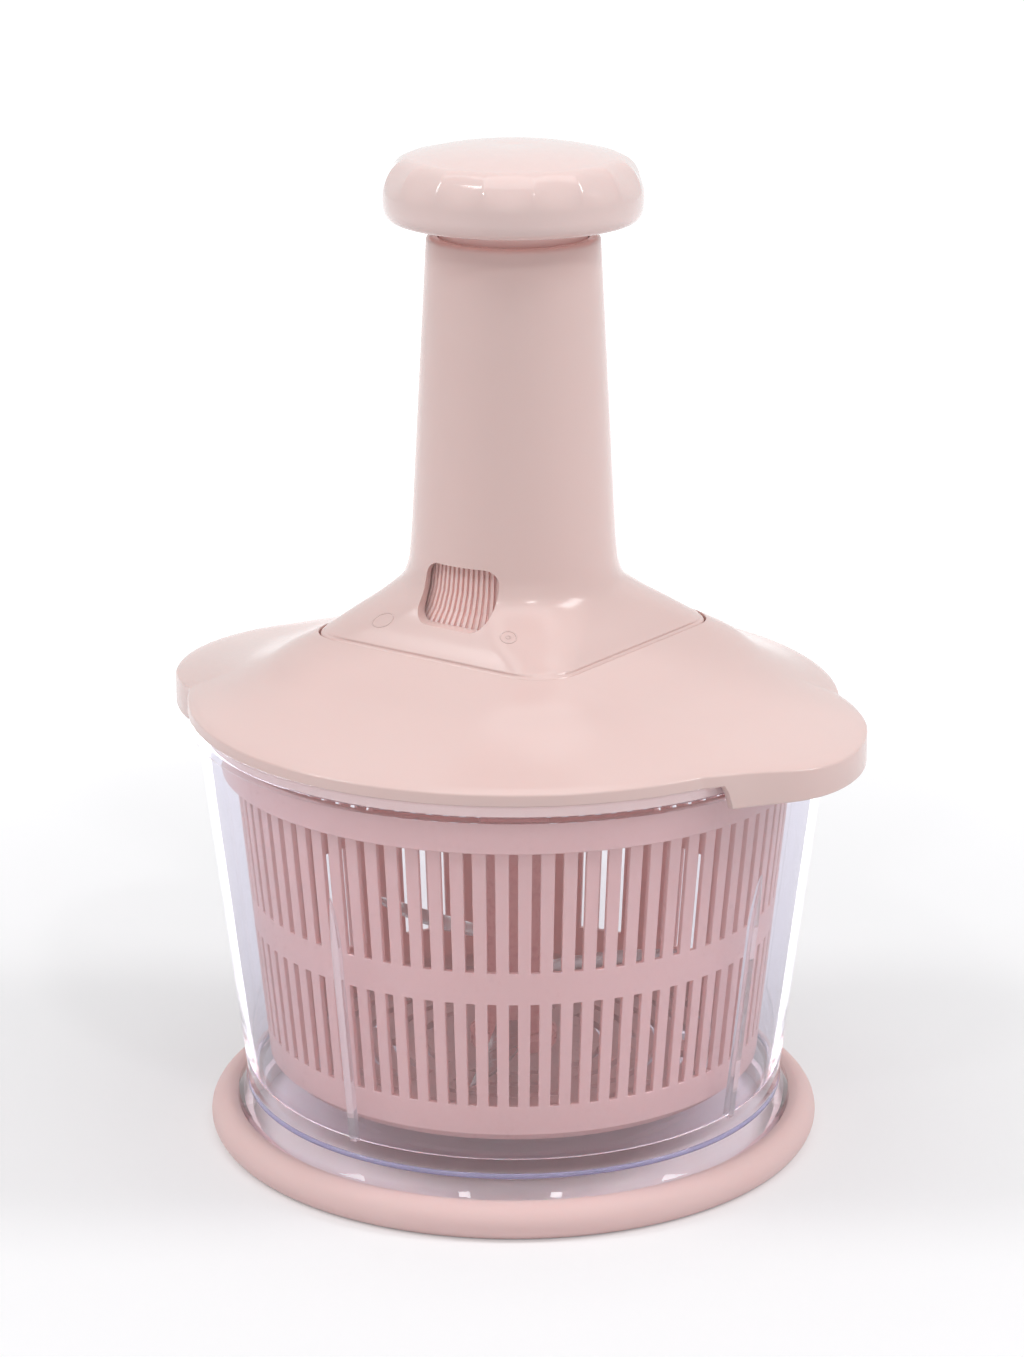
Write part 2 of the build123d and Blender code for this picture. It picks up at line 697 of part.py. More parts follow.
def knob_cap():
    body = revolve(Plane.XZ * knob_outline(), Axis.Z)
    inner_top = knob_top_z - knob_wall
    inner_r = knob_base_r - knob_wall
    body -= turned((0, knob_bottom_z - 1), (inner_r, knob_bottom_z - 1),
                   (knob_r - knob_wall - 0.6, knob_bottom_z + 0.42 * knob_height),
                   (knob_r - knob_wall - 4.2, inner_top - 6.6), (knob_r - 12.0, inner_top - 3.2),
                   (0.5 * knob_r, inner_top - 1.2), (0, inner_top - 1.2))
    for place in around(3, knob_screw_pcr):
        body += place * disc(small_screw_r + 2.0, tube_top_z, inner_top)
    away = knob_r - 4.2 - flute_depth + flute_r * math.cos(math.radians(35)) + 1.0
    up = knob_top_z - 4.6 - flute_depth + flute_r * math.sin(math.radians(35))
    for place in around(flute_count, away, 180 / flute_count):
        body -= place * Pos(0, 0, up) * Sphere(flute_r)
    for place in around(3, knob_screw_pcr):
        body -= place * disc(small_screw_r, tube_top_z - 1, tube_top_z + 5)
    return body


def knob_base():
    """Ring that closes the knob from below and grips the plunger tube."""
    body = disc(knob_base_r - knob_wall - seat_gap, knob_bottom_z, knob_bottom_z + 2.4)
    body += disc(tube_r + 3, knob_bottom_z, tube_top_z - 2)
    return body - disc(tube_r + shaft_gap, knob_bottom_z - 1, tube_top_z + 1)


def knob_screws():
    return screws(small_screw_r, small_screw_head_r, small_screw_head, tube_top_z - tube_cap,
                  tube_top_z + 4.5, around(3, knob_screw_pcr))


# ---------------------------------------------------------------- lock slider
def flare_half(z):
    """Half side of the tower's flare at a height, between its sections."""
    for above, below in zip(tower_sections, tower_sections[1:]):
        if z >= below[0]:
            share = (z - below[0]) / (above[0] - below[0])
            return below[1] + share * (above[1] - below[1])
    return tower_half


def lock_outline(outer_shift, thickness):
    """Half profile of the ribbed pad: it follows the inside of the tower's flare."""
    reach = window_high_z - window_low_z + 2 * lock_margin
    heights = [window_high_z + lock_margin - reach * i / lock_steps for i in range(lock_steps + 1)]
    outer = [(flare_half(z + tower_wall) - tower_wall - 2 * gap - outer_shift, z) for z in heights]
    inner = [(r - thickness, z) for r, z in reversed(outer)]
    return make_face(Polyline(*outer, *inner, close=True))


def lock_slider():
    half_angle = window_half_angle + lock_travel / 2 + 3
    start = rest_angle - half_angle
    pad = Rot(0, 0, start) * revolve(Plane.XZ * lock_outline(lock_rib, lock_wall), Axis.Z, 2 * half_angle)
    count = int(2 * half_angle / lock_rib_pitch)
    for i in range(count):
        rib = revolve(Plane.XZ * lock_outline(0, lock_rib + 0.1), Axis.Z, lock_rib_pitch * 0.5)
        pad += Rot(0, 0, start + lock_rib_pitch * (i + 0.4)) * rib
    tongue_r = tube_flange_r + gap + 0.6
    pad_top_z = window_high_z + lock_margin
    pad_r = flare_half(pad_top_z) - tower_wall - 2 * gap - lock_rib - lock_wall
    top_z = tube_low_z + tube_flange + 1.6
    strip = Polyline((tongue_r, top_z + 2.4), (tongue_r, pad_top_z - 4), (pad_r, pad_top_z - 6),
                     (pad_r, pad_top_z - 12), (pad_r + 1.2, pad_top_z - 12), (pad_r + 1.2, pad_top_z - 1),
                     (tongue_r + tongue, pad_top_z - 1), (tongue_r + tongue, top_z + 2.4), close=True)
    nose = Polyline((tube_r + 0.6, top_z), (tongue_r + 0.5, top_z), (tongue_r + 0.5, top_z + 2.4),
                    (tube_r + 0.6, top_z + 1.4), close=True)
    turn = Rot(0, 0, rest_angle)
    pad += turn * extrude(Plane.XZ * make_face(strip), tongue_width / 2, both=True)
    pad += turn * extrude(Plane.XZ * make_face(nose), tongue_width / 2, both=True)
    return pad


# ---------------------------------------------------------------- the parts
def build_parts():
    blades = [blade(i) for i in range(len(blade_names))]
    parts = dict(zip(blade_names, blades))
    parts.update(
        base_ring=base_ring(), bowl=bowl(), pivot_pin=pivot_pin(), basket=basket(),
        blade_column=blade_column(blades), column_collar=column_collar(), lid=lid(),
        tower_housing=tower_housing(), drive_base=drive_base(), bearing_housing=bearing_housing(),
        bearing_bush=bearing_bush(), thrust_washer=thrust_washer(), plate_screws=plate_screws(),
        bearing_screws=bearing_screws(), drive_screw=drive_screw(), ratchet_disc=ratchet_disc(),
        pawl_ring=pawl_ring(), retaining_clip=retaining_clip(), drive_coupling=drive_coupling(),
        return_spring=return_spring(), plunger_tube=plunger_tube(), drive_nut=drive_nut(),
        knob_cap=knob_cap(), knob_base=knob_base(), knob_screws=knob_screws(), lock_slider=lock_slider(),
    )
    return parts


os.makedirs("parts", exist_ok=True)
for name, shape in build_parts().items():
    export_step(shape, f"parts/{name}.step")
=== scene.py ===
import json
from math import atan2, cos, dist, hypot, pi, radians, sin, sqrt, tan

import bmesh
import bpy
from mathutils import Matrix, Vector


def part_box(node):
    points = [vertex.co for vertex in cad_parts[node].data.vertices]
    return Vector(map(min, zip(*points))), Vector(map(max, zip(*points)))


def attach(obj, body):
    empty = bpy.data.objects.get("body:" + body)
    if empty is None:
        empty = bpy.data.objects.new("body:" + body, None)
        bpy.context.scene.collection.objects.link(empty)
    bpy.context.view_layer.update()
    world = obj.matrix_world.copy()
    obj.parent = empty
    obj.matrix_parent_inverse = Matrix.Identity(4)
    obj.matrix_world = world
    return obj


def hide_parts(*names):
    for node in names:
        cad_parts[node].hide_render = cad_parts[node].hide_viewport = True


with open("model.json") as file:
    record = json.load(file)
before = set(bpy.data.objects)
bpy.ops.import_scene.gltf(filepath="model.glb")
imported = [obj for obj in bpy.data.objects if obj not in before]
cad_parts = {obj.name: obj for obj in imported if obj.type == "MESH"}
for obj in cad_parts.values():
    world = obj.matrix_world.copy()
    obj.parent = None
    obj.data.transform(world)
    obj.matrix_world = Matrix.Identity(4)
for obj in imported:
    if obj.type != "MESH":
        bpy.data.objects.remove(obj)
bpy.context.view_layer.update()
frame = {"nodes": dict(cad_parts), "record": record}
nodes = frame["nodes"]
mm = 0.001    # the pieces' forms are in millimetres and degrees, their meshes in metres
print("frame loaded:", len(nodes), "nodes")


# small helpers

def hexColor(code):
    # sRGB hex to the linear values that the shaders use
    values = [int(code[i:i + 2], 16) / 255 for i in (1, 3, 5)]
    linear = [v / 12.92 if v <= 0.04045 else ((v + 0.055) / 1.055) ** 2.4 for v in values]
    return (*linear, 1.0)


def addNode(tree, kind, settings=None, links=None):
    # settings: attribute or input -> value, links: input -> output socket; an input by name or number
    node = tree.nodes.new(kind)
    for name, value in (settings or {}).items():
        if isinstance(name, str) and hasattr(node, name):
            setattr(node, name, value)
        else:
            node.inputs[name].default_value = value
    for name, socket in (links or {}).items():
        tree.links.new(socket, node.inputs[name])
    return node


def newMaterial(name):
    material = bpy.data.materials.new(name)
    material.use_nodes = True
    material.node_tree.nodes.clear()
    return material, material.node_tree


def newObject(name, data):
    holder = bpy.data.objects.new(name, data)
    bpy.context.scene.collection.objects.link(holder)
    return holder


def newPiece(name, mesh, material, node, replaced=()):
    # a piece that rides with a CAD node
    piece = newObject(name, mesh)
    mesh.materials.clear()
    mesh.materials.append(material)
    body, slot = bodyOf[node], slotOf[node]
    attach(piece, body)
    if replaced:
        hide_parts(*replaced)


bodyOf = {name: body for body, members in frame["record"]["behaviour"]["bodies"].items() for name in members}
slotOf = {row["node"]: row["material_slot"] for row in frame["record"]["subparts"]}


# camera: 1.15 m from the axis, half a metre up, a long lens tilted down

cameraSetup = {
    "distance": 1149.2 * mm,
    "height": 498.5 * mm,
    "turn": 36.0,             # degrees from the lock slider's side
    "tilt": 17.0,             # degrees down
    "lens": 102.17,           # on a sensor 36 mm high
    "sensor": 36.0,
    "shiftX": -0.0011,
}


def addCamera(setup):
    camera = bpy.data.cameras.new("studioCamera")
    camera.sensor_fit = "VERTICAL"
    camera.sensor_height = setup["sensor"]
    camera.lens = setup["lens"]
    camera.shift_x = setup["shiftX"]
    camera.clip_end = 20
    away, turn = setup["distance"], radians(setup["turn"])
    holder = newObject("studioCamera", camera)
    holder.location = (sin(turn) * away, -cos(turn) * away, setup["height"])
    holder.rotation_euler = (radians(90 - setup["tilt"]), 0, turn)
    bpy.context.scene.camera = holder


addCamera(cameraSetup)
print("camera placed")


# materials; a colour mix has its factor at input 0, its colours at 6 and 7 and its result at output 2

def driftingColor(tree, place, patch, detail, hexBase, hexDeep):
    # a colour that wanders between two close tones, in patches of a real size
    drift = addNode(tree, "ShaderNodeTexNoise", {"Scale": 1 / (patch * mm), "Detail": detail},
                    {"Vector": place})
    tones = addNode(tree, "ShaderNodeMix", {"data_type": "RGBA", 6: hexColor(hexBase), 7: hexColor(hexDeep)},
                    {0: drift.outputs["Fac"]})
    return tones.outputs[2]


def plastic(name, hexBase, hexDeep, roughness, relief, grain, scatter=0.0, coat=0.0, through=0.0):
    # injection moulded plastic: an even colour that drifts a little, with the mould's fine texture;
    # relief and grain are that texture's height and size, through is the share of light that a thin
    # wall lets pass, in a warmer colour of its own
    material, tree = newMaterial(name)
    place = addNode(tree, "ShaderNodeTexCoord").outputs["Object"]
    color = driftingColor(tree, place, 70.0, 3.0, hexBase, hexDeep)
    texture = addNode(tree, "ShaderNodeTexNoise",
                      {"Scale": 1 / (grain * mm), "Detail": 2.0, "Roughness": 0.55},
                      {"Vector": place})
    polish = addNode(tree, "ShaderNodeMapRange", {"From Min": 0.3, "From Max": 0.7,
                                                  "To Min": roughness * 0.88, "To Max": roughness * 1.14},
                     {"Value": texture.outputs["Fac"]})
    bump = addNode(tree, "ShaderNodeBump", {"Strength": 0.6, "Distance": relief * mm},
                   {"Height": texture.outputs["Fac"]})
    surface = addNode(tree, "ShaderNodeBsdfPrincipled",
                      {"IOR": 1.49, "Coat Weight": coat, "Coat Roughness": 0.04,
                       "Subsurface Weight": scatter, "Subsurface Radius": (1.0, 0.55, 0.45),
                       "Subsurface Scale": 3 * mm},
                      {"Base Color": color, "Roughness": polish.outputs["Result"],
                       "Normal": bump.outputs["Normal"]})
    result = surface.outputs["BSDF"]
    if through:
        glow = addNode(tree, "ShaderNodeBsdfTranslucent", {"Color": hexColor("#f5aea2")})
        blend = addNode(tree, "ShaderNodeMixShader", {0: through}, {1: result, 2: glow.outputs["BSDF"]})
        result = blend.outputs["Shader"]
    addNode(tree, "ShaderNodeOutputMaterial", links={"Surface": result})
    return material


def clearStyrene(name, ior, hexFace, hexEdge, clearness=1.0):
    # clear styrene copolymer, injection moulded and polished: a faint lavender tint at its thick edges
    material, tree = newMaterial(name)
    place = addNode(tree, "ShaderNodeTexCoord").outputs["Object"]
    flow = addNode(tree, "ShaderNodeTexNoise", {"Scale": 1 / (45 * mm), "Detail": 1.0}, {"Vector": place})
    relief = addNode(tree, "ShaderNodeBump", {"Strength": 0.12, "Distance": 0.4 * mm},
                     {"Height": flow.outputs["Fac"]})
    edge = addNode(tree, "ShaderNodeLayerWeight", {"Blend": 0.35})
    tint = addNode(tree, "ShaderNodeMix", {"data_type": "RGBA", 6: hexColor(hexFace), 7: hexColor(hexEdge)},
                   {0: edge.outputs["Facing"]})
    # a thin wall hardly bends what is seen through it, so the body's index is low and the gloss is a coat
    glass = addNode(tree, "ShaderNodeBsdfPrincipled",
                    {"Roughness": 0.01, "IOR": ior, "Transmission Weight": clearness,
                     "Coat Weight": 1.0, "Coat IOR": 1.55, "Coat Roughness": 0.02},
                    {"Base Color": tint.outputs[2], "Normal": relief.outputs["Normal"],
                     "Coat Normal": relief.outputs["Normal"]})
    lampPass = addNode(tree, "ShaderNodeBsdfTransparent", {"Color": hexColor("#f6f5f9")})
    # lamps shine through, and light that would stay caught between the walls goes on after a few turns
    rays = addNode(tree, "ShaderNodeLightPath").outputs
    caught = addNode(tree, "ShaderNodeMath", {"operation": "GREATER_THAN", 1: 5}, {0: rays["Ray Depth"]})
    passing = addNode(tree, "ShaderNodeMath", {"operation": "MAXIMUM"},
                      {0: rays["Is Shadow Ray"], 1: caught.outputs[0]})
    choice = addNode(tree, "ShaderNodeMixShader",
                     links={0: passing.outputs[0], 1: glass.outputs["BSDF"], 2: lampPass.outputs["BSDF"]})
    addNode(tree, "ShaderNodeOutputMaterial", links={"Surface": choice.outputs["Shader"]})
    return material


def siliconeRubber(name, hexBase, hexDeep):
    # compression moulded silicone: soft, matt, with a dusty fine grain
    material, tree = newMaterial(name)
    place = addNode(tree, "ShaderNodeTexCoord").outputs["Object"]
    color = driftingColor(tree, place, 30.0, 4.0, hexBase, hexDeep)
    dust = addNode(tree, "ShaderNodeTexNoise", {"Scale": 1 / (0.8 * mm), "Detail": 2.0}, {"Vector": place})
    relief = addNode(tree, "ShaderNodeBump", {"Strength": 0.5, "Distance": 0.05 * mm},
                     {"Height": dust.outputs["Fac"]})
    surface = addNode(tree, "ShaderNodeBsdfPrincipled",
                      {"Roughness": 0.62, "IOR": 1.41, "Sheen Weight": 0.15, "Sheen Roughness": 0.5,
                       "Subsurface Weight": 0.15, "Subsurface Radius": (1.0, 0.5, 0.4),
                       "Subsurface Scale": 2 * mm},
                      {"Base Color": color, "Normal": relief.outputs["Normal"]})
    addNode(tree, "ShaderNodeOutputMaterial", links={"Surface": surface.outputs["BSDF"]})
    return material


def drawnSteel(name, hexBase, roughness, lineSize):
    # stainless steel, rolled or drawn: fine lines that stretch its reflections
    material, tree = newMaterial(name)
    place = addNode(tree, "ShaderNodeTexCoord").outputs["Object"]
    stretch = addNode(tree, "ShaderNodeMapping", {"Scale": (1.0, 0.06, 1.0)}, {"Vector": place})
    lines = addNode(tree, "ShaderNodeTexNoise", {"Scale": 1 / (lineSize * mm), "Detail": 3.0},
                    {"Vector": stretch.outputs["Vector"]})
    polish = addNode(tree, "ShaderNodeMapRange", {"From Min": 0.3, "From Max": 0.7,
                                                  "To Min": roughness * 0.7, "To Max": roughness * 1.3},
                     {"Value": lines.outputs["Fac"]})
    relief = addNode(tree, "ShaderNodeBump", {"Strength": 0.3, "Distance": 0.02 * mm},
                     {"Height": lines.outputs["Fac"]})
    surface = addNode(tree, "ShaderNodeBsdfPrincipled", {"Base Color": hexColor(hexBase), "Metallic": 1.0},
                      {"Roughness": polish.outputs["Result"], "Normal": relief.outputs["Normal"]})
    addNode(tree, "ShaderNodeOutputMaterial", links={"Surface": surface.outputs["BSDF"]})
    return material


# plastics: two colours, roughness, then height and size of the mould's texture
# ABS from a polished mould: a soft, broad gloss
absSatin = plastic("absSatinPink", "#edd1cc", "#ebccc7", 0.19, 0.012, 1.6, scatter=0.12)
# ABS from a mirror-polished mould: small clear highlights
absGloss = plastic("absGlossPink", "#efd4d0", "#edd1cc", 0.11, 0.004, 3.0, scatter=0.12, coat=0.5)
# polypropylene, a little see-through: its thin walls glow warm against the light
basketPlastic = plastic("polypropyleneBasketPink", "#eecfcd", "#ebcac8", 0.30, 0.02, 1.8,
                        scatter=0.1, through=0.36)
# polypropylene in a deeper pink, solid
columnPlastic = plastic("polypropyleneDeepPink", "#e3a09d", "#dd9794", 0.28, 0.03, 1.8)
# ABS from a finely eroded mould: matt; a paler pink than its own, painted light that lifts the shade inside
# the slider's window
lockPlasticLifted = plastic("absFineMattPinkLifted", "#ffdfdb", "#fbd8d4", 0.42, 0.03, 1.2, scatter=0.2)
# natural acetal of nuts and bushes: waxy white
acetal = plastic("acetalNaturalWhite", "#ece7e2", "#e6e0da", 0.32, 0.03, 1.5, scatter=0.1)
styrene = clearStyrene("clearStyreneCopolymer", 1.035, "#fcfbfd", "#e2dfee")
styreneBendShade = clearStyrene("clearStyreneFootBendPaintedShade", 1.035, "#aaa4c6", "#a09abf", 0.55)    # painted shade: a dark lavender ring for the dark line light makes in the thick bend
styreneRibHighlight = clearStyrene("clearStyreneRibPaintedHighlight", 1.16, "#ffffff", "#f3f1f8", 0.88)      # it bends light, and a white matt share paints the bright lines of light caught in a rib
silicone = siliconeRubber("siliconeMattPink", "#fad9d6", "#f7d2cf")
padSiliconeLifted = siliconeRubber("siliconeThinPadPaintedLight", "#fff1ef", "#fdebe8")                    # paler than the ring: painted light that lifts the shade it lies in under the basket
bladeSteel = drawnSteel("stainlessBladeRolled", "#c9c9cb", 0.22, 0.6)
springSteel = drawnSteel("springSteelDrawn", "#b9b9bb", 0.28, 0.4)
print("materials made:", len(bpy.data.materials))


# the CAD pieces in their finishes

wornBy = {
    styrene: ["bowl"], silicone: ["base_ring"], basketPlastic: ["basket"], absGloss: ["knob_cap"],
    absSatin: ["lid", "tower_housing"], lockPlasticLifted: ["plunger_tube", "knob_base", "lock_slider"],
    columnPlastic: ["blade_column", "column_collar"],
    bladeSteel: ["blade_lower", "blade_middle", "blade_upper"],
    acetal: ["drive_base", "bearing_housing", "bearing_bush", "drive_nut", "drive_screw", "ratchet_disc",
             "pawl_ring", "drive_coupling"],
    springSteel: ["pivot_pin", "thrust_washer", "plate_screws", "bearing_screws", "return_spring",
                  "knob_screws", "retaining_clip"],
}
finishOf = {name: finish for finish, names in wornBy.items() for name in names}

for nodeName, finish in finishOf.items():
    nodes[nodeName].data.materials.clear()
    nodes[nodeName].data.materials.append(finish)

smoothed = {    # nodes shaded smooth, each up to an angle
    "base_ring": 40, "blade_column": 32, "column_collar": 32,
    "knob_base": 32, "plunger_tube": 32, "lock_slider": 32,
    "blade_lower": 20, "blade_middle": 20, "blade_upper": 20, "drive_base": 32,
}


def smoothMesh(nodeName, sharpAngle):
    # the CAD node's own mesh, its loose triangles merged and shaded smooth up to an angle
    mesh = nodes[nodeName].data.copy()
    shape = bmesh.new()
    shape.from_mesh(mesh)
    bmesh.ops.remove_doubles(shape, verts=shape.verts, dist=0.002 * mm)
    for face in shape.faces:
        face.smooth = True
    for edge in shape.edges:
        edge.smooth = not (edge.is_manifold and edge.calc_face_angle(0) > radians(sharpAngle))
    shape.to_mesh(mesh)
    shape.free()
    return mesh


for nodeName, angle in smoothed.items():
    newPiece(nodeName + "_moulding", smoothMesh(nodeName, angle), finishOf[nodeName], nodeName, [nodeName])
print("finishes on:", len(finishOf), "nodes,", len(smoothed), "of them smoothed")


# shapes that several pieces share

def newMesh(name, shape, sharpAngle=None):
    # what was built in bmesh, as a mesh, shaded smooth up to an angle if one is given
    if sharpAngle:
        for face in shape.faces:
            face.smooth = True
        for edge in shape.edges:
            edge.smooth = edge.is_manifold and edge.calc_face_angle(0) < radians(sharpAngle)
    mesh = bpy.data.meshes.new(name)
    shape.to_mesh(mesh)
    shape.free()
    return mesh


def fullTurn(count):
    # so many turns, evenly round
    return [2 * pi * k / count for k in range(count)]


def polar(r, turn, z):
    return (r * cos(turn) * mm, r * sin(turn) * mm, z * mm)


def joinRings(shape, rings, closed=False):
    # faces from each ring of points to the next, turned outward; a point that comes twice counts once
    for lower, upper in zip(rings, rings[1:] + rings[:1] if closed else rings[1:]):
        for k in range(len(lower)):
            n = (k + 1) % len(lower)
            shape.faces.new(list(dict.fromkeys((lower[k], lower[n], upper[n], upper[k]))))
    bmesh.ops.recalc_face_normals(shape, faces=shape.faces)


def turnedForm(profile, columns):
    # closed mesh turned round Z; a point on the axis becomes a pole
    shape = bmesh.new()
    rings = []
    for r, z in profile:
        if r == 0:
            rings.append([shape.verts.new((0, 0, z * mm))] * columns)
        else:
            rings.append([shape.verts.new(polar(r, t, z)) for t in fullTurn(columns)])
    joinRings(shape, rings, closed=profile[0][0] != 0)
    return shape


def arcThrough(first, middle, last, count):
    # points on the circle through three points of a half profile
    (ax, az), (bx, bz), (cx, cz) = first, middle, last
    d = 2 * (ax * (bz - cz) + bx * (cz - az) + cx * (az - bz))
    a2, b2, c2 = ax * ax + az * az, bx * bx + bz * bz, cx * cx + cz * cz
    ux = (a2 * (bz - cz) + b2 * (cz - az) + c2 * (az - bz)) / d
    uz = (a2 * (cx - bx) + b2 * (ax - cx) + c2 * (bx - ax)) / d
    start = atan2(az - uz, ax - ux)
    sweep = (atan2(cz - uz, cx - ux) - start + pi) % (2 * pi) - pi
    radius = hypot(ax - ux, az - uz)
    turns = [start + sweep * i / (count - 1) for i in range(count)]
    return [(ux + radius * cos(t), uz + radius * sin(t)) for t in turns]


def squareReach(half, corner, turn):
    # distance from the axis to the edge of a rounded square
    a = turn % (pi / 2)
    a = min(a, pi / 2 - a)
    core = half - corner
    if half * tan(a) <= core:
        return half / cos(a)
    b = core * (cos(a) + sin(a))
    return b + sqrt(max(b * b - 2 * core * core + corner * corner, 0))


def smoothBetween(rows, z):
    # half side and corner at a height, on a smooth line through the given rows
    i = max(k for k in range(len(rows) - 1) if z >= rows[k][0] or k == 0)
    z0, z1 = rows[i][0], rows[i + 1][0]
    t = (z - z0) / (z1 - z0)

    def slope(j, k):
        before, after = max(j - 1, 0), min(j + 1, len(rows) - 1)
        return (rows[after][k] - rows[before][k]) / (rows[after][0] - rows[before][0])

    result = []
    for k in (1, 2):
        a, b, c, d = rows[i][k], slope(i, k) * (z1 - z0), rows[i + 1][k], slope(i + 1, k) * (z1 - z0)
        result.append(a * (2 * t**3 - 3 * t**2 + 1) + b * (t**3 - 2 * t**2 + t)
                      + c * (3 * t**2 - 2 * t**3) + d * (t**3 - t**2))
    return result


# bowl: a clear turned shell with a flared foot and a socket rim, and four upright ribs inside its wall

bowlForm = {
    "floor": (17.0, 20.0),                          # heights of its underside and top
    "base": (85.2, 18.5), "top": (98.7, 133.4),     # outer radius and height of the wall's two ends
    "wall": 2.6, "columns": 256,
    "foot": (88.4, 1.8, 9.5),                       # outer radius, lowest height, where its flare ends
    "footEdges": (0.3, 0.4),                        # softened edges inside and outside
    "hollowTurn": ((2.5, 0.0), (1.2, 0.6), (-0.4, 3.5)),    # from the wall's inner face and the floor
    "shoulder": ((88.1, 13.0), (85.8, 15.8)),       # sloping band above the foot
    "shoulderEdge": (1.1, 0.12, 0.4),               # below the band, then inside the foot and below
    "wallTurn": (0.25, 1.1, 0.4),                   # outside the wall and over the band, then its end
    "rim": (100.6, 97.4, 139.0), "rimRound": 0.5,   # outer and inner radius, height
    "rimFlare": ((0.3, 0.1), (-0.4, 0.5), 1.2),     # from the wall's end, from the rim, its end's height
    "socket": 134.6, "socketEdge": 0.2,             # ledge over the wall's end
    "corner": 3.0, "cornerMiddle": (2.2, 0.8),      # round from the wall to the floor
    "boss": (10.0, 8.0, 23.6), "pinRadius": 3.0,    # radius at its foot and its top, height
    "bendSize": (0.5, 0.9), "bendInset": 1.1, "bendRise": 0.54, "bendSides": 12,
    "ribs": 4, "ribWidth": 2.6, "ribDepth": 3.0, "ribRows": 40, "ribSides": 9,
    "ribFoot": 20.3, "ribTurn": 86.0, "ribTop": 102.0,      # heights; above its turn a rib fades out
    "ribEmbed": 0.3, "ribThin": 0.02, "ribCrowding": 1.6, "ribTaper": 0.7,
}


def wallInside(form, z):
    (r0, z0), (r1, z1) = form["base"], form["top"]
    return r0 + (r1 - r0) * (z - z0) / (z1 - z0) - form["wall"]


def footProfile(form):
    # from the middle of the underside down inside the foot and up its outside to the wall
    under, wall, baseR = form["floor"][0], form["wall"], form["base"][0]
    footR, low, flare = form["foot"]
    insideEdge, outsideEdge = form["footEdges"]
    turn = [(baseR - wall - inward, under - down) for inward, down in form["hollowTurn"]]
    profile = [(0, under), turn[0], *arcThrough(turn[1], turn[2], (footR - wall, flare), 7)]
    profile += [(footR - wall, low + insideEdge), (footR - wall + insideEdge, low)]
    profile += [(footR - outsideEdge, low), (footR, low + outsideEdge)]
    bandLow, bandHigh = form["shoulder"]
    start, inset, drop = form["shoulderEdge"]
    profile += arcThrough((footR, bandLow[1] - start), (footR - inset, bandLow[1] - drop), bandLow, 5)
    outset, rise, end = form["wallTurn"]
    profile += arcThrough(bandHigh, (baseR + outset, bandHigh[1] + rise), (baseR, form["base"][1] + end), 6)
    return profile


def rimProfile(form):
    # round the rim and down to the ledge inside it
    topR, topZ = form["top"]
    rimR, inner, rimTop = form["rim"]
    bend, edge = form["rimRound"], form["socketEdge"]
    short = 0.3 * bend        # how far the middle of a quarter round stays from its corner
    (startR, startZ), (middleR, middleZ), endZ = form["rimFlare"]
    start, middle = (topR + startR, topZ + startZ), (rimR + middleR, topZ + middleZ)
    profile = arcThrough(start, middle, (rimR, topZ + endZ), 5)
    profile += arcThrough((rimR, rimTop - bend), (rimR - short, rimTop - short), (rimR - bend, rimTop), 5)
    profile += arcThrough((inner + bend, rimTop), (inner + short, rimTop - short), (inner, rimTop - bend), 5)
    profile += [(inner, form["socket"] + edge), (inner - edge, form["socket"])]
    profile += [(wallInside(form, topZ) + edge, form["socket"]), (wallInside(form, topZ), topZ)]
    return profile


def bowlMesh(form):
    top, corner = form["floor"][1], form["corner"]
    topR, topZ = form["top"]
    profile = footProfile(form)
    baseR, wallLow = profile[-1]
    profile += [(baseR + (topR - baseR) * i / 6, wallLow + (topZ - wallLow) * i / 6) for i in range(1, 7)]
    profile += rimProfile(form)
    cornerZ, cornerR = top + corner, wallInside(form, top) - corner
    inside = [topZ + (cornerZ - topZ) * i / 6 for i in range(1, 6)]
    profile += [(wallInside(form, z), z) for z in inside]
    middle = (cornerR + form["cornerMiddle"][0], top + form["cornerMiddle"][1])
    profile += arcThrough((wallInside(form, cornerZ), cornerZ), middle, (cornerR, top), 7)
    bossFoot, bossTop, bossZ = form["boss"]
    pinR = form["pinRadius"]
    profile += [(bossFoot, top), (bossTop, bossZ), (pinR, bossZ), (pinR, top), (0, top)]
    shape = turnedForm(profile, form["columns"])
    return newMesh("bowlMesh", shape, 34)


def ribsMesh(form):
    # half-round ribs that end in a point curving into the wall
    shape = bmesh.new()
    rows, sides, thin = form["ribRows"], form["ribSides"], form["ribThin"]
    foot, fade, top = form["ribFoot"], form["ribTurn"], form["ribTop"]
    for turn in fullTurn(form["ribs"]):
        inward = Vector((-cos(turn), -sin(turn), 0))
        side = Vector((-sin(turn), cos(turn), 0))
        rings = []
        for i in range(rows):
            z = foot + (top - foot) * (1 - (1 - i / (rows - 1)) ** form["ribCrowding"])
            rest = min(1.0, max(0.0, (top - z) / (top - fade)))
            depth = form["ribDepth"] * sqrt(rest) + thin
            half = form["ribWidth"] / 2 * rest ** form["ribTaper"] + thin
            wall = wallInside(form, z) + form["ribEmbed"]
            ring = []
            for a in (pi * j / (sides - 1) for j in range(sides)):
                place = inward * (depth * sin(a) - wall) + side * half * cos(a) + Vector((0, 0, z))
                ring.append(shape.verts.new(place * mm))
            rings.append(ring)
        for ring in (rings[0], rings[-1]):
            shape.faces.new(ring)
        joinRings(shape, rings)
    return newMesh("bowlRibs", shape, 40)


def paintedBendShadeMesh(form):
    # painted shade: a dark lavender ring in the bend where wall and foot meet, standing in for the dark line
    # that light bent in the thick glass shows
    highR, highZ = form["shoulder"][1]
    halfWide, halfHigh = form["bendSize"]
    centreR, centreZ = highR - form["bendInset"], highZ + form["bendRise"]
    outline = [(centreR + halfWide * cos(t), centreZ + halfHigh * sin(t))
               for t in fullTurn(form["bendSides"])]
    shape = turnedForm(outline, form["columns"])
    return newMesh("bowlBendPaintedShade", shape, 60)


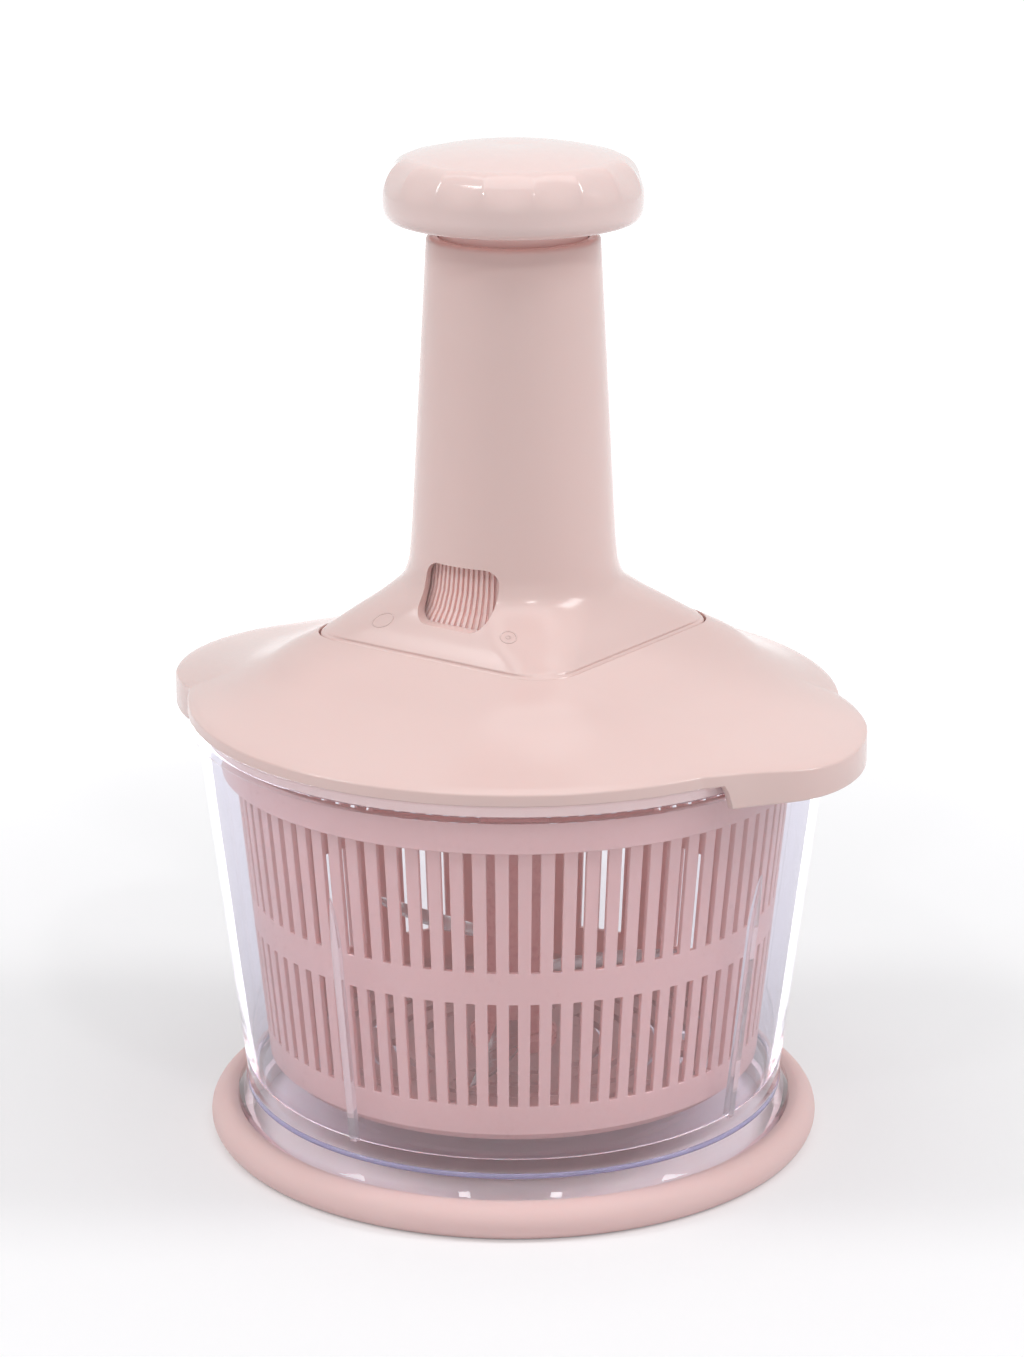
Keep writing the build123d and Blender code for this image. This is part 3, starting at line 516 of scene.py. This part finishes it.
newPiece("bowl_moulding", bowlMesh(bowlForm), styrene, "bowl", ["bowl"])
newPiece("bowl_ribs", ribsMesh(bowlForm), styreneRibHighlight, "bowl")
newPiece("bowl_bend_painted_shade", paintedBendShadeMesh(bowlForm), styreneBendShade, "bowl")
print("bowl made, ribs:", bowlForm["ribs"])


# basket: one pitch of its slotted wall, repeated round the axis, on the CAD basket's floor and hub

basketForm = {
    "slots": 80, "slotWidth": 2.65, "wall": 1.8, "edge": 0.22,
    "lowerSlot": (36.4, 70.6), "upperSlot": (81.0, 120.0),      # heights of the two rows
    "base": (77.6, 24.0), "shoulder": (87.2, 120.9),            # radius and height of the wall's ends
    "corner": 3.0, "insideCorner": 1.0,
    "rim": (91.5, 131.0), "rimHeight": 9.6, "rimStep": 0.8,
    "floorTop": 26.4, "floorRadius": 74.6, "floorColumns": 160,
    "coreHeights": (10.0, 70.0),        # the CAD basket's floor and hub are kept between them
}


def basketRadius(form, z):
    (r0, z0), (r1, z1) = form["base"], form["shoulder"]
    return r0 + (r1 - r0) * (z - z0) / (z1 - z0)


def basketSector(form):
    # outside, inside and the slots' own walls, between two middles of the bars
    wall, corner, floorR, floorTop = form["wall"], form["corner"], form["floorRadius"], form["floorTop"]
    rimR, rimZ = form["rim"]
    baseR, bottom = form["base"]
    rimLow, shoulderZ = rimZ - form["rimHeight"], form["shoulder"][1]
    heights = [bottom + corner, *form["lowerSlot"], *form["upperSlot"], shoulderZ]
    outer = [(floorR, bottom), (baseR - corner, bottom)]
    outer += [(basketRadius(form, z), z) for z in heights]
    outer += [(rimR, rimLow), (rimR, rimZ)]
    inner = [(floorR, floorTop), (baseR - wall - form["insideCorner"], floorTop)]
    inner += [(basketRadius(form, z) - wall, z) for z in heights]
    inner += [(rimR - wall, rimLow + form["rimStep"]), (rimR - wall, rimZ)]
    openRows = (3, 5)         # the rows between the two heights of each slot
    half = pi / form["slots"]
    shape = bmesh.new()
    sheets = []
    for profile in (outer, inner):
        sheet = []
        for r, z in profile:
            slot = form["slotWidth"] / 2 / basketRadius(form, min(z, shoulderZ))
            sheet.append([shape.verts.new(polar(r, t, z)) for t in (-half, -slot, slot, half)])
        sheets.append(sheet)
    for sheet in sheets:
        for row, (lower, upper) in enumerate(zip(sheet, sheet[1:])):
            for k in range(3):
                if k != 1 or row not in openRows:
                    shape.faces.new((lower[k], lower[k + 1], upper[k + 1], upper[k]))
    for row in (0, len(outer) - 1):
        for k in range(3):
            outside, inside = sheets[0][row], sheets[1][row]
            shape.faces.new((outside[k], outside[k + 1], inside[k + 1], inside[k]))
    for row in openRows:
        (a, b), (c, d) = ((sheet[row], sheet[row + 1]) for sheet in sheets)
        for k in (1, 2):
            shape.faces.new((a[k], b[k], d[k], c[k]))
        shape.faces.new((a[1], a[2], c[2], c[1]))
        shape.faces.new((b[1], b[2], d[2], d[1]))
    return newMesh("basketSector", shape)


def aroundTree():
    # instances the given mesh round Z, joins the copies where they meet and gives them their finish
    tree = bpy.data.node_groups.new("repeatRound", "GeometryNodeTree")
    inputs = {"Geometry": "Geometry", "Copies": "Int", "Join Distance": "Float", "Finish": "Material"}
    for name, kind in inputs.items():
        tree.interface.new_socket(name, in_out="INPUT", socket_type="NodeSocket" + kind)
    tree.interface.new_socket("Geometry", in_out="OUTPUT", socket_type="NodeSocketGeometry")
    given = addNode(tree, "NodeGroupInput")
    points = addNode(tree, "GeometryNodePoints", links={"Count": given.outputs["Copies"]})
    index = addNode(tree, "GeometryNodeInputIndex")
    step = addNode(tree, "ShaderNodeMath", {"operation": "DIVIDE", 0: 2 * pi},
                   {1: given.outputs["Copies"]})
    turn = addNode(tree, "ShaderNodeMath", {"operation": "MULTIPLY"},
                   {0: index.outputs["Index"], 1: step.outputs[0]})
    axis = addNode(tree, "ShaderNodeCombineXYZ", links={"Z": turn.outputs[0]})
    copies = addNode(tree, "GeometryNodeInstanceOnPoints",
                     links={"Points": points.outputs[0], "Instance": given.outputs["Geometry"],
                            "Rotation": axis.outputs["Vector"]})
    real = addNode(tree, "GeometryNodeRealizeInstances", links={"Geometry": copies.outputs["Instances"]})
    joined = addNode(tree, "GeometryNodeMergeByDistance",
                     links={"Geometry": real.outputs["Geometry"], "Distance": given.outputs["Join Distance"]})
    dressed = addNode(tree, "GeometryNodeSetMaterial",
                      links={"Geometry": joined.outputs["Geometry"], "Material": given.outputs["Finish"]})
    addNode(tree, "NodeGroupOutput", links={"Geometry": dressed.outputs["Geometry"]})
    return tree


def bakedMesh(worker):
    # what an object's modifiers make of it, as a plain mesh
    bpy.context.view_layer.update()
    return bpy.data.meshes.new_from_object(worker.evaluated_get(bpy.context.evaluated_depsgraph_get()))


def runNodes(name, mesh, tree, values):
    worker = newObject(name, mesh)
    modifier = worker.modifiers.new("nodes", "NODES")
    modifier.node_group = tree
    for item in tree.interface.items_tree:
        if item.in_out == "INPUT" and item.name in values:
            modifier[item.identifier] = values[item.name]
    result = bakedMesh(worker)
    bpy.data.objects.remove(worker)
    return result


def booleaned(mesh, cutterMesh, operation):
    # mesh cut by, or kept inside, another closed mesh
    part, cutter = (newObject("booleanPart", m) for m in (mesh, cutterMesh))
    modifier = part.modifiers.new("cut", "BOOLEAN")
    modifier.operation = operation
    modifier.solver = "EXACT"
    modifier.object = cutter
    result = bakedMesh(part)
    for worker in (part, cutter):
        bpy.data.objects.remove(worker)
    return result


def basketMesh(form):
    wall = runNodes("basketWallWorker", basketSector(form), aroundTree(),
                    {"Copies": form["slots"], "Join Distance": 0.01 * mm, "Finish": basketPlastic})
    core = bmesh.new()
    radius, (low, high) = form["floorRadius"] * mm, form["coreHeights"]
    bmesh.ops.create_cone(core, cap_ends=True, segments=form["floorColumns"], radius1=radius, radius2=radius,
                          depth=(high - low) * mm)
    bmesh.ops.translate(core, verts=core.verts, vec=(0, 0, (low + high) / 2 * mm))
    floor = booleaned(smoothMesh("basket", 32), newMesh("basketCore", core), "INTERSECT")
    shape = bmesh.new()
    shape.from_mesh(wall)
    bmesh.ops.recalc_face_normals(shape, faces=shape.faces)
    sharp = [e for e in shape.edges if e.is_manifold and e.calc_face_angle(0) > radians(50)]
    bmesh.ops.bevel(shape, geom=sharp, offset=form["edge"] * mm, segments=1, affect="EDGES",
                    clamp_overlap=True)
    shape.from_mesh(floor)
    return newMesh("basketMesh", shape, 32)


newPiece("basket_moulding", basketMesh(basketForm), basketPlastic, "basket", ["basket"])
print("basket made, slots:", basketForm["slots"] * 2)


# tower: one moulding that goes from a square foot plate over a flare to the round grip

towerForm = {
    # height, half side and corner radius, from the seam up to the waist
    "sections": [(165.0, 46.5, 13.5), (167.0, 44.6, 16.0), (170.0, 41.9, 19.5), (175.0, 37.1, 25.0),
                 (180.0, 33.9, 30.9), (185.0, 32.5, 32.1), (191.0, 31.8, 31.75), (198.0, 31.3, 31.3)],
    "plateLow": 161.9, "plateRound": 1.4, "plateShares": (0.6, 0.85), "wall": 2.2,
    "flareStart": 0.9, "flareCrowding": 1.15, "flareRows": 44, "columns": 240,
    "cornerCrowding": 0.08,                 # more columns at the four corners
    "gripTop": 287.2, "gripRadius": 26.4, "gripSwell": 0.08, "gripRound": 1.6, "gripRows": 8,
    "bore": 22.9, "boreEdge": 0.4, "collar": 10.7, "collarStep": 0.6,
    "windowTurn": -85.2, "windowHalf": 24.6, "windowHeights": (173.0, 190.5), "windowCorner": 5.0,
    "windowDepths": (18.0, 52.0), "windowRound": 0.55,
    "lipZone": (0.5, 20.0, 14.0),           # margin over and under the window, least reach, half width
}


def towerRings(form):
    # height, half side, corner: up the outside and down the inside
    rows, wall, count = form["sections"], form["wall"], form["flareRows"]
    seam, plate, corner = rows[0]
    waist, waistHalf = rows[-1][:2]
    bend, (below, rise) = form["plateRound"], form["plateShares"]
    rings = [(form["plateLow"], plate, corner)]
    for t in (radians(a) for a in (0, 22.5, 45, 67.5)):
        z = seam - bend * below + bend * sin(t) * rise
        rings.append((z, plate - bend * (1 - cos(t)), corner))
    start = seam + form["flareStart"]
    for i in range(count):
        z = start + (waist - start) * (i / (count - 1)) ** form["flareCrowding"]
        rings.append((z, *smoothBetween(rows, z)))
    top, radius, curl = form["gripTop"], form["gripRadius"], form["gripRound"]
    for i in range(1, form["gripRows"] + 1):
        z = waist + (top - curl - waist) * i / form["gripRows"]
        r = waistHalf + (radius - waistHalf) * (z - waist) / (top - waist)
        rings.append((z, r, r))
    for t in (radians(a) for a in (20, 40, 60, 80, 90)):
        r = radius + form["gripSwell"] - curl * (1 - cos(t))
        rings.append((top - curl + curl * sin(t), r, r))
    bore, edge, ledge = form["bore"], form["boreEdge"], top - form["collar"]
    under, inside = radius - wall + form["collarStep"], waistHalf - wall
    rings += [(top, bore + edge, bore + edge), (top - edge, bore, bore), (ledge, bore, bore)]
    rings += [(ledge, under, under), (waist - wall, inside, inside)]
    rings += [(z - wall, half - wall, turn - wall) for z, half, turn in reversed(rows[:-1])]
    rings.append((form["plateLow"], plate - wall, corner - wall))
    return rings


def towerMesh(form):
    turns = [t + form["cornerCrowding"] * sin(4 * t) for t in fullTurn(form["columns"])]
    shape = bmesh.new()
    rings = [[shape.verts.new(polar(squareReach(half, min(corner, half), t), t, z)) for t in turns]
             for z, half, corner in towerRings(form)]
    joinRings(shape, rings, closed=True)
    return newMesh("towerShell", shape)


def windowMesh(form):
    # rounded opening, cut straight through the flare
    low, high = form["windowHeights"]
    halfWidth = form["sections"][-1][1] * sin(radians(form["windowHalf"]))
    halfHeight, curl = (high - low) / 2, form["windowCorner"]
    outline = []
    for quarter, (sx, sz) in enumerate(((1, 1), (-1, 1), (-1, -1), (1, -1))):
        for t in (radians(90 * quarter + 90 * i / 8) for i in range(9)):
            outline.append((sx * (halfWidth - curl) + curl * cos(t),
                            sz * (halfHeight - curl) + curl * sin(t)))
    turn = radians(form["windowTurn"])
    along = Vector((cos(turn), sin(turn), 0))
    across = Vector((-sin(turn), cos(turn), 0))
    shape = bmesh.new()
    ends = [[shape.verts.new((along * reach + across * a + Vector((0, 0, (low + high) / 2 + b))) * mm)
             for a, b in outline] for reach in form["windowDepths"]]
    for end in ends:
        shape.faces.new(end)
    joinRings(shape, ends)
    return newMesh("towerWindow", shape)


def towerWithWindow(form):
    shape = bmesh.new()
    shape.from_mesh(booleaned(towerMesh(form), windowMesh(form), "DIFFERENCE"))
    bmesh.ops.remove_doubles(shape, verts=shape.verts, dist=0.01 * mm)
    low, high = form["windowHeights"]
    margin, least, halfWidth = form["lipZone"]
    turn = radians(form["windowTurn"])
    facing = Vector((cos(turn), sin(turn), 0))
    lip = []
    for edge in shape.edges:
        middle = (edge.verts[0].co + edge.verts[1].co) / 2
        inWindow = (low - margin) * mm < middle.z < (high + margin) * mm and middle.dot(facing) > least * mm
        if inWindow and edge.is_manifold and edge.calc_face_angle(0) > radians(45):
            if abs(middle.cross(facing).z) < halfWidth * mm:
                lip.append(edge)
    bmesh.ops.bevel(shape, geom=lip, offset=form["windowRound"] * mm, segments=3, affect="EDGES",
                    clamp_overlap=True)
    return newMesh("towerMesh", shape, 34)


newPiece("tower_moulding", towerWithWindow(towerForm), absSatin, "tower_housing", ["tower_housing"])
print("tower made")


# lid: one moulding from the square seam over the dome to the round rim, with two finger ears

lidForm = {
    # height, half side and corner radius, from the rim up to the seam
    "sections": [(143.3, 101.5, 101.5), (147.6, 86.5, 76.5), (153.7, 69.5, 46.0), (159.8, 57.5, 26.0),
                 (165.0, 47.0, 14.0)],
    "wall": 2.4, "edgeRound": 0.9, "rimLow": 139.3, "lowRound": 0.4, "columns": 480, "rows": 30,
    "seamEdge": (0.35, 0.1), "domeCrowding": 0.8,       # depths of the seam's two edges
    "lip": (97.0, 95.0, 134.9), "shelf": (158.8, 161.8), "opening": 36.0,
    # along an ear, from its soft end to its sharp one: how far it stands out of its whole reach
    "earShares": [(0.0, 0.0), (0.16, 0.30), (0.34, 0.88), (0.52, 0.99), (0.75, 0.70), (0.90, 0.32),
                  (1.0, 0.0)],
    "earSpan": (-21.0, 34.0), "earReach": 15.0, "earFall": 2.0, "earRoot": 82.0, "earLow": 131.9,
    "earHollow": 101.0, "earWall": 2.2,
    "skirtStart": 0.075, "skirtStep": 0.02,             # shares of an ear's length
}


def earShare(form, turn):
    # how far an ear stands out at a turn, and how much of its deep skirt is there; both ears alike
    first, last = (radians(a) for a in form["earSpan"])
    along = ((turn - first) % pi) / (last - first)
    if along >= 1:
        return 0.0, 0.0
    share = max(0.0, smoothBetween([(t, s, s) for t, s in form["earShares"]], along)[0])
    comes, goes = (reach / form["skirtStep"] for reach in (along - form["skirtStart"], 1 - along))
    return share, min(1.0, max(0.0, comes)) * min(1.0, max(0.0, goes))


def lidColumn(form, turn):
    # the lid's whole section at one turn: over the top, down the skirt and back underneath
    rows, wall, count = form["sections"], form["wall"], form["rows"]
    share, skirt = earShare(form, turn)
    rim, rimR = rows[0][:2]
    seam = rows[-1][0]

    def reachAt(z):
        half, corner = smoothBetween(rows, z)
        return squareReach(half, min(corner, half), turn)

    def dome(z):
        reach = reachAt(z)
        rise = min(1.0, max(0.0, (reach - form["earRoot"]) / (rimR - form["earRoot"])))
        rise = share * rise * rise * (3 - 2 * rise)
        return (reach + form["earReach"] * rise, z - form["earFall"] * rise)

    recess = squareReach(rows[-1][1], rows[-1][2], turn)
    innerEdge, outerEdge = form["seamEdge"]
    low, high = form["shelf"]
    section = [(form["opening"], low), (form["opening"], high), (recess, high), (recess, seam - innerEdge)]
    start = seam - outerEdge
    section += [dome(start - (start - rim) * (i / (count - 1)) ** form["domeCrowding"]) for i in range(count)]
    edgeR, edgeZ = section.pop()
    curl = form["edgeRound"]
    for t in (radians(a) for a in (80, 60, 40, 20, 0)):
        section.append((edgeR - curl + curl * cos(t), edgeZ - curl + curl * sin(t)))
    rimLow, hollowR = form["rimLow"], form["earHollow"]
    bottom = rimLow + (form["earLow"] - rimLow) * skirt
    section += [(edgeR, bottom + form["lowRound"]), (edgeR - form["lowRound"], bottom)]
    hollow = rimLow + (edgeZ - wall - rimLow) * skirt
    inner = max(edgeR - form["earWall"], hollowR)
    lipOuter, lipInner, lipLow = form["lip"]
    section += [(inner, bottom), (inner, hollow), (hollowR, hollow), (hollowR, rimLow)]
    section += [(lipOuter, rimLow), (lipOuter, lipLow), (lipInner, lipLow)]
    steps = count // 2
    heights = [rim + (low + wall - rim) * i / (steps - 1) for i in range(steps)]
    return section + [(min(reachAt(z), lipInner), z - wall) for z in heights]


def lidMesh(form):
    shape = bmesh.new()
    columns = [[shape.verts.new(polar(r, turn, z)) for r, z in lidColumn(form, turn)]
               for turn in fullTurn(form["columns"])]
    joinRings(shape, columns, closed=True)
    bmesh.ops.remove_doubles(shape, verts=shape.verts, dist=0.004 * mm)
    bmesh.ops.recalc_face_normals(shape, faces=shape.faces)
    return newMesh("lidShell", shape, 34)


newPiece("lid_moulding", lidMesh(lidForm), absSatin, "lid", ["lid"])
print("lid made")


# small raised marks beside the slider: a plain ring, and a ring round a tiny one

markForm = {
    "places": [(-117.0, 172.0, 3.0), (-56.0, 173.5, 2.4), (-56.0, 173.5, 0.7)],   # turn, height, radius
    "thick": 0.22, "sides": 6, "points": 36,
    "probe": (0.02, 0.5),     # radians and height from a mark's middle, to find how the flare lies there
}


def onFlare(turn, z):
    half, corner = smoothBetween(towerForm["sections"], z)
    reach = squareReach(half, min(corner, half), turn)
    return Vector((reach * cos(turn), reach * sin(turn), z))


def marksMesh(form):
    shape = bmesh.new()
    turnStep, heightStep = form["probe"]
    for degrees, height, radius in form["places"]:
        turn = radians(degrees)
        centre = onFlare(turn, height)
        spread = hypot(centre.x, centre.y)
        along = (onFlare(turn + turnStep, height) - onFlare(turn - turnStep, height)).normalized()
        up = (onFlare(turn, height + heightStep) - onFlare(turn, height - heightStep)).normalized()
        outward = along.cross(up).normalized()
        rings = []
        for t in fullTurn(form["points"]):
            spot = onFlare(turn + radius * cos(t) / spread, height + radius * sin(t) * up.z)
            radial = (along * cos(t) + up * sin(t)).normalized()
            tube = [spot + (radial * cos(a) + outward * sin(a)) * form["thick"]
                    for a in fullTurn(form["sides"])]
            rings.append([shape.verts.new(place * mm) for place in tube])
        joinRings(shape, rings, closed=True)
    return newMesh("towerMarks", shape, 180)


newPiece("tower_marks", marksMesh(markForm), absSatin, "tower_housing")
print("marks made:", len(markForm["places"]))


# pad under the bowl: the thin floor of the soft ring, with three low grip rings

padForm = {
    "radius": 83.6, "low": 0.4, "high": 1.5, "columns": 120,
    "gripRadii": (30.0, 50.0, 70.0), "gripWidth": 2.0,
}


def padMesh(form):
    low, high = form["low"], form["high"]
    profile = [(0, low)]
    for radius in form["gripRadii"]:
        for side, z in ((-1, low), (-0.5, 0.0), (0.5, 0.0), (1, low)):
            profile.append((radius + side * form["gripWidth"], z))
    profile += [(form["radius"], low), (form["radius"], high), (0, high)]
    shape = turnedForm(profile, form["columns"])
    return newMesh("basePad", shape, 30)


newPiece("base_pad", padMesh(padForm), padSiliconeLifted, "base_ring")
print("pad made")


# knob: turned mushroom form with shallow scoops pressed into its shoulder, a soft ridge between two

knobForm = {
    "radius": 39.5, "footRadius": 35.9, "baseRadius": 35.15, "height": 23.0, "wall": 2.4,
    "crownLow": 1.0, "crownDrop": 2.9, "crownMiddle": (0.5, 0.7),       # share of the radius, and drop
    "shoulder": 9.0, "shoulderStart": 8.0, "widestShare": 0.27, "squareness": 2.35, "footSquareness": 2.5,
    "hollow": ((0.6, 3.0), (0.4, 9.7), (4.2, 6.6)), "ceiling": (0.5, 1.2),
    "scoops": 16, "scoopDepth": 0.75,
    "scoopReach": 7.4,        # half its length along the profile
    "scoopRadius": 37.3,      # where it is deepest
    "columnsPerScoop": 22, "quarterRows": 20,
}


def knobProfile(form, low, top):
    # from the crown down the outside to the foot; shoulder and foot are squarish quarter rounds
    wide, rows = form["radius"], form["quarterRows"]
    power, footPower = (2 / form[name] for name in ("squareness", "footSquareness"))
    shoulder = (wide - form["shoulder"], top - form["crownDrop"])
    widestZ = low + form["widestShare"] * form["height"]
    share, drop = form["crownMiddle"]
    points = arcThrough((0, top), (share * wide, top - drop), shoulder, rows)[1:]
    start = radians(form["shoulderStart"])
    across = form["shoulder"] / (1 - sin(start) ** power)
    rise = (shoulder[1] - widestZ) / cos(start) ** power
    for i in range(1, 2 * rows):
        t = start + (pi / 2 - start) * i / (2 * rows)
        points.append((wide - across * (1 - sin(t) ** power), widestZ + rise * cos(t) ** power))
    for i in range(rows + 1):
        t = pi / 2 * i / rows
        points.append((wide - (wide - form["footRadius"]) * (1 - cos(t) ** footPower),
                       widestZ - (widestZ - low) * sin(t) ** footPower))
    return points


def hollowProfile(form, low, top):
    # from the knob's foot up its inside to the ceiling
    wide, under, base = form["radius"] - form["wall"], top - form["wall"], form["baseRadius"]
    (footOut, footUp), (sideIn, sideUp), (shoulderIn, shoulderDown) = form["hollow"]
    share, drop = form["ceiling"]
    return [(base, low), (base + footOut, low + footUp), (wide - sideIn, low + sideUp),
            (wide - shoulderIn, under - shoulderDown), (share * form["radius"], under - drop)]


def knobMesh(form):
    low, top = (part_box("knob_cap")[i][2] / mm for i in (0, 1))
    top -= form["crownLow"]
    outer = knobProfile(form, low, top)
    profile = outer + hollowProfile(form, low, top)
    travel = [0.0]
    for before, after in zip(profile, profile[1:]):
        travel.append(travel[-1] + dist(before, after))
    middle = next(t for t, (r, z) in zip(travel, profile) if r > form["scoopRadius"])
    each = form["columnsPerScoop"]
    shape = bmesh.new()
    rings = []
    for i, (r, z) in enumerate(profile):
        before, after = profile[max(i - 1, 0)], profile[min(i + 1, len(profile) - 1)]
        run = Vector((after[0] - before[0], after[1] - before[1])).normalized()
        along = (travel[i] - middle) / form["scoopReach"]
        deep = form["scoopDepth"] * max(0.0, 1 - along ** 2) ** 2 if i < len(outer) else 0.0
        ring = []
        for k, turn in enumerate(fullTurn(form["scoops"] * each)):
            depth = deep * (1 - ((k % each) / each * 2 - 1) ** 2)
            ring.append(shape.verts.new(polar(r + run[1] * depth, turn, z - run[0] * depth)))
        rings.append(ring)
    for ring, height in ((rings[0], top), (rings[-1], profile[-1][1])):
        pole = shape.verts.new((0, 0, height * mm))
        for k, corner in enumerate(ring):
            shape.faces.new((pole, corner, ring[(k + 1) % len(ring)]))
    joinRings(shape, rings)
    return newMesh("knobCapMesh", shape, 40)


newPiece("knob_cap_moulding", knobMesh(knobForm), absGloss, "knob_cap", ["knob_cap"])
print("knob made")


# floor, world and lights, in metres and degrees

stageSetup = {
    "floorSize": 6.0,
    "floorColor": "#e4e4e6",
    "nearGlow": 0.24,         # white that the paper shows beside what light gives it, near the object
    "farGlow": 0.80,          # and far from it, where the lamps don't reach
    "under": (0.072, 0.100),  # distances from the axis between which the lift begins: none under the object
    "near": 0.16,             # where it begins to grow
    "far": 0.90,
    "sky": 0.37,
    "mirrorShare": 0.9,       # how much of the white room gloss mirrors
}


def stageMaterial(name, setup):
    # matt paper: its own colour in light and shadow, lifted to white where it is seen or mirrored
    material, tree = newMaterial(name)
    paper = addNode(tree, "ShaderNodeBsdfDiffuse", {"Color": hexColor(setup["floorColor"])})
    place = addNode(tree, "ShaderNodeTexCoord").outputs["Object"]
    reach = addNode(tree, "ShaderNodeVectorMath", {"operation": "LENGTH"}, {"Vector": place})
    glow = addNode(tree, "ShaderNodeMapRange",
                   {"interpolation_type": "SMOOTHSTEP", "From Min": setup["near"], "From Max": setup["far"],
                    "To Min": setup["nearGlow"], "To Max": setup["farGlow"]},
                   {"Value": reach.outputs["Value"]})
    start, end = setup["under"]
    clear = addNode(tree, "ShaderNodeMapRange",
                    {"interpolation_type": "SMOOTHSTEP", "From Min": start, "From Max": end},
                    {"Value": reach.outputs["Value"]})
    lifted = addNode(tree, "ShaderNodeMath", {"operation": "MULTIPLY"},
                     {0: glow.outputs["Result"], 1: clear.outputs["Result"]})
    rays = addNode(tree, "ShaderNodeLightPath").outputs
    seen = addNode(tree, "ShaderNodeMath", {"operation": "MAXIMUM"},
                   {0: rays["Is Camera Ray"], 1: rays["Is Glossy Ray"]})
    either = addNode(tree, "ShaderNodeMath", {"operation": "MAXIMUM"},
                     {0: seen.outputs[0], 1: rays["Is Transmission Ray"]})
    strength = addNode(tree, "ShaderNodeMath", {"operation": "MULTIPLY"},
                       {0: either.outputs[0], 1: lifted.outputs[0]})
    lift = addNode(tree, "ShaderNodeEmission", {"Color": (1, 1, 1, 1)}, {"Strength": strength.outputs[0]})
    total = addNode(tree, "ShaderNodeAddShader",
                    links={0: paper.outputs["BSDF"], 1: lift.outputs["Emission"]})
    addNode(tree, "ShaderNodeOutputMaterial", links={"Surface": total.outputs["Shader"]})
    return material


def addFloor(setup):
    half = setup["floorSize"] / 2
    mesh = bpy.data.meshes.new("studioFloor")
    corners = [(x * half, y * half, 0) for x, y in ((-1, -1), (1, -1), (1, 1), (-1, 1))]
    mesh.from_pydata(corners, [], [(0, 1, 2, 3)])
    mesh.materials.append(stageMaterial("studioPaper", setup))
    floor = newObject("studioFloor", mesh)


def addWorld(setup):
    world = bpy.data.worlds.new("studioWorld")
    world.use_nodes = True
    tree = world.node_tree
    tree.nodes.clear()
    rays = addNode(tree, "ShaderNodeLightPath").outputs
    direct = addNode(tree, "ShaderNodeMath", {"operation": "MAXIMUM"},
                     {0: rays["Is Camera Ray"], 1: rays["Is Transmission Ray"]})
    gloss = addNode(tree, "ShaderNodeMath", {"operation": "MULTIPLY", 1: setup["mirrorShare"]},
                    {0: rays["Is Glossy Ray"]})
    mirrored = addNode(tree, "ShaderNodeMath", {"operation": "MAXIMUM"},
                       {0: direct.outputs[0], 1: gloss.outputs[0]})
    level = addNode(tree, "ShaderNodeMapRange", {"To Min": setup["sky"], "To Max": 1.0},
                    {"Value": mirrored.outputs[0]})
    light = addNode(tree, "ShaderNodeBackground", {"Color": (1, 1, 1, 1)},
                    {"Strength": level.outputs["Result"]})
    addNode(tree, "ShaderNodeOutputWorld", links={"Surface": light.outputs["Background"]})
    bpy.context.scene.world = world


# each soft light: turn as the camera's is counted, distance out and up, size, power, height aimed at
softLights = {
    "overhead": (36, 0.15, 1.5, (1.1, 1.1), 4.05, 0.16),
    "leftSide": (-44, 1.15, 1.25, (0.4, 0.7), 6.2, 0.17),
    "rightSide": (116, 1.15, 1.25, (0.4, 0.7), 7.2, 0.17),
    "windowLeft": (12, 1.25, 1.38, (0.12, 0.12), 1.3, 0.17),
    "window": (57, 1.25, 1.38, (0.12, 0.12), 2.4, 0.17),
}

def addLight(name, degrees, out, up, size, power, aim):
    light = bpy.data.lights.new(name, "AREA")
    light.shape = "RECTANGLE"
    light.size, light.size_y = size
    light.energy = power
    holder = newObject(name, light)
    turn = radians(degrees)
    place = Vector((sin(turn) * out, -cos(turn) * out, up))
    holder.location = place
    holder.rotation_euler = (Vector((0, 0, aim)) - place).to_track_quat("-Z", "Y").to_euler()


addFloor(stageSetup)
addWorld(stageSetup)
for lightName, lightSetup in softLights.items():
    addLight(lightName, *lightSetup)
bpy.context.scene.view_settings.view_transform = "Standard"
print("stage and", len(softLights), "lights set")
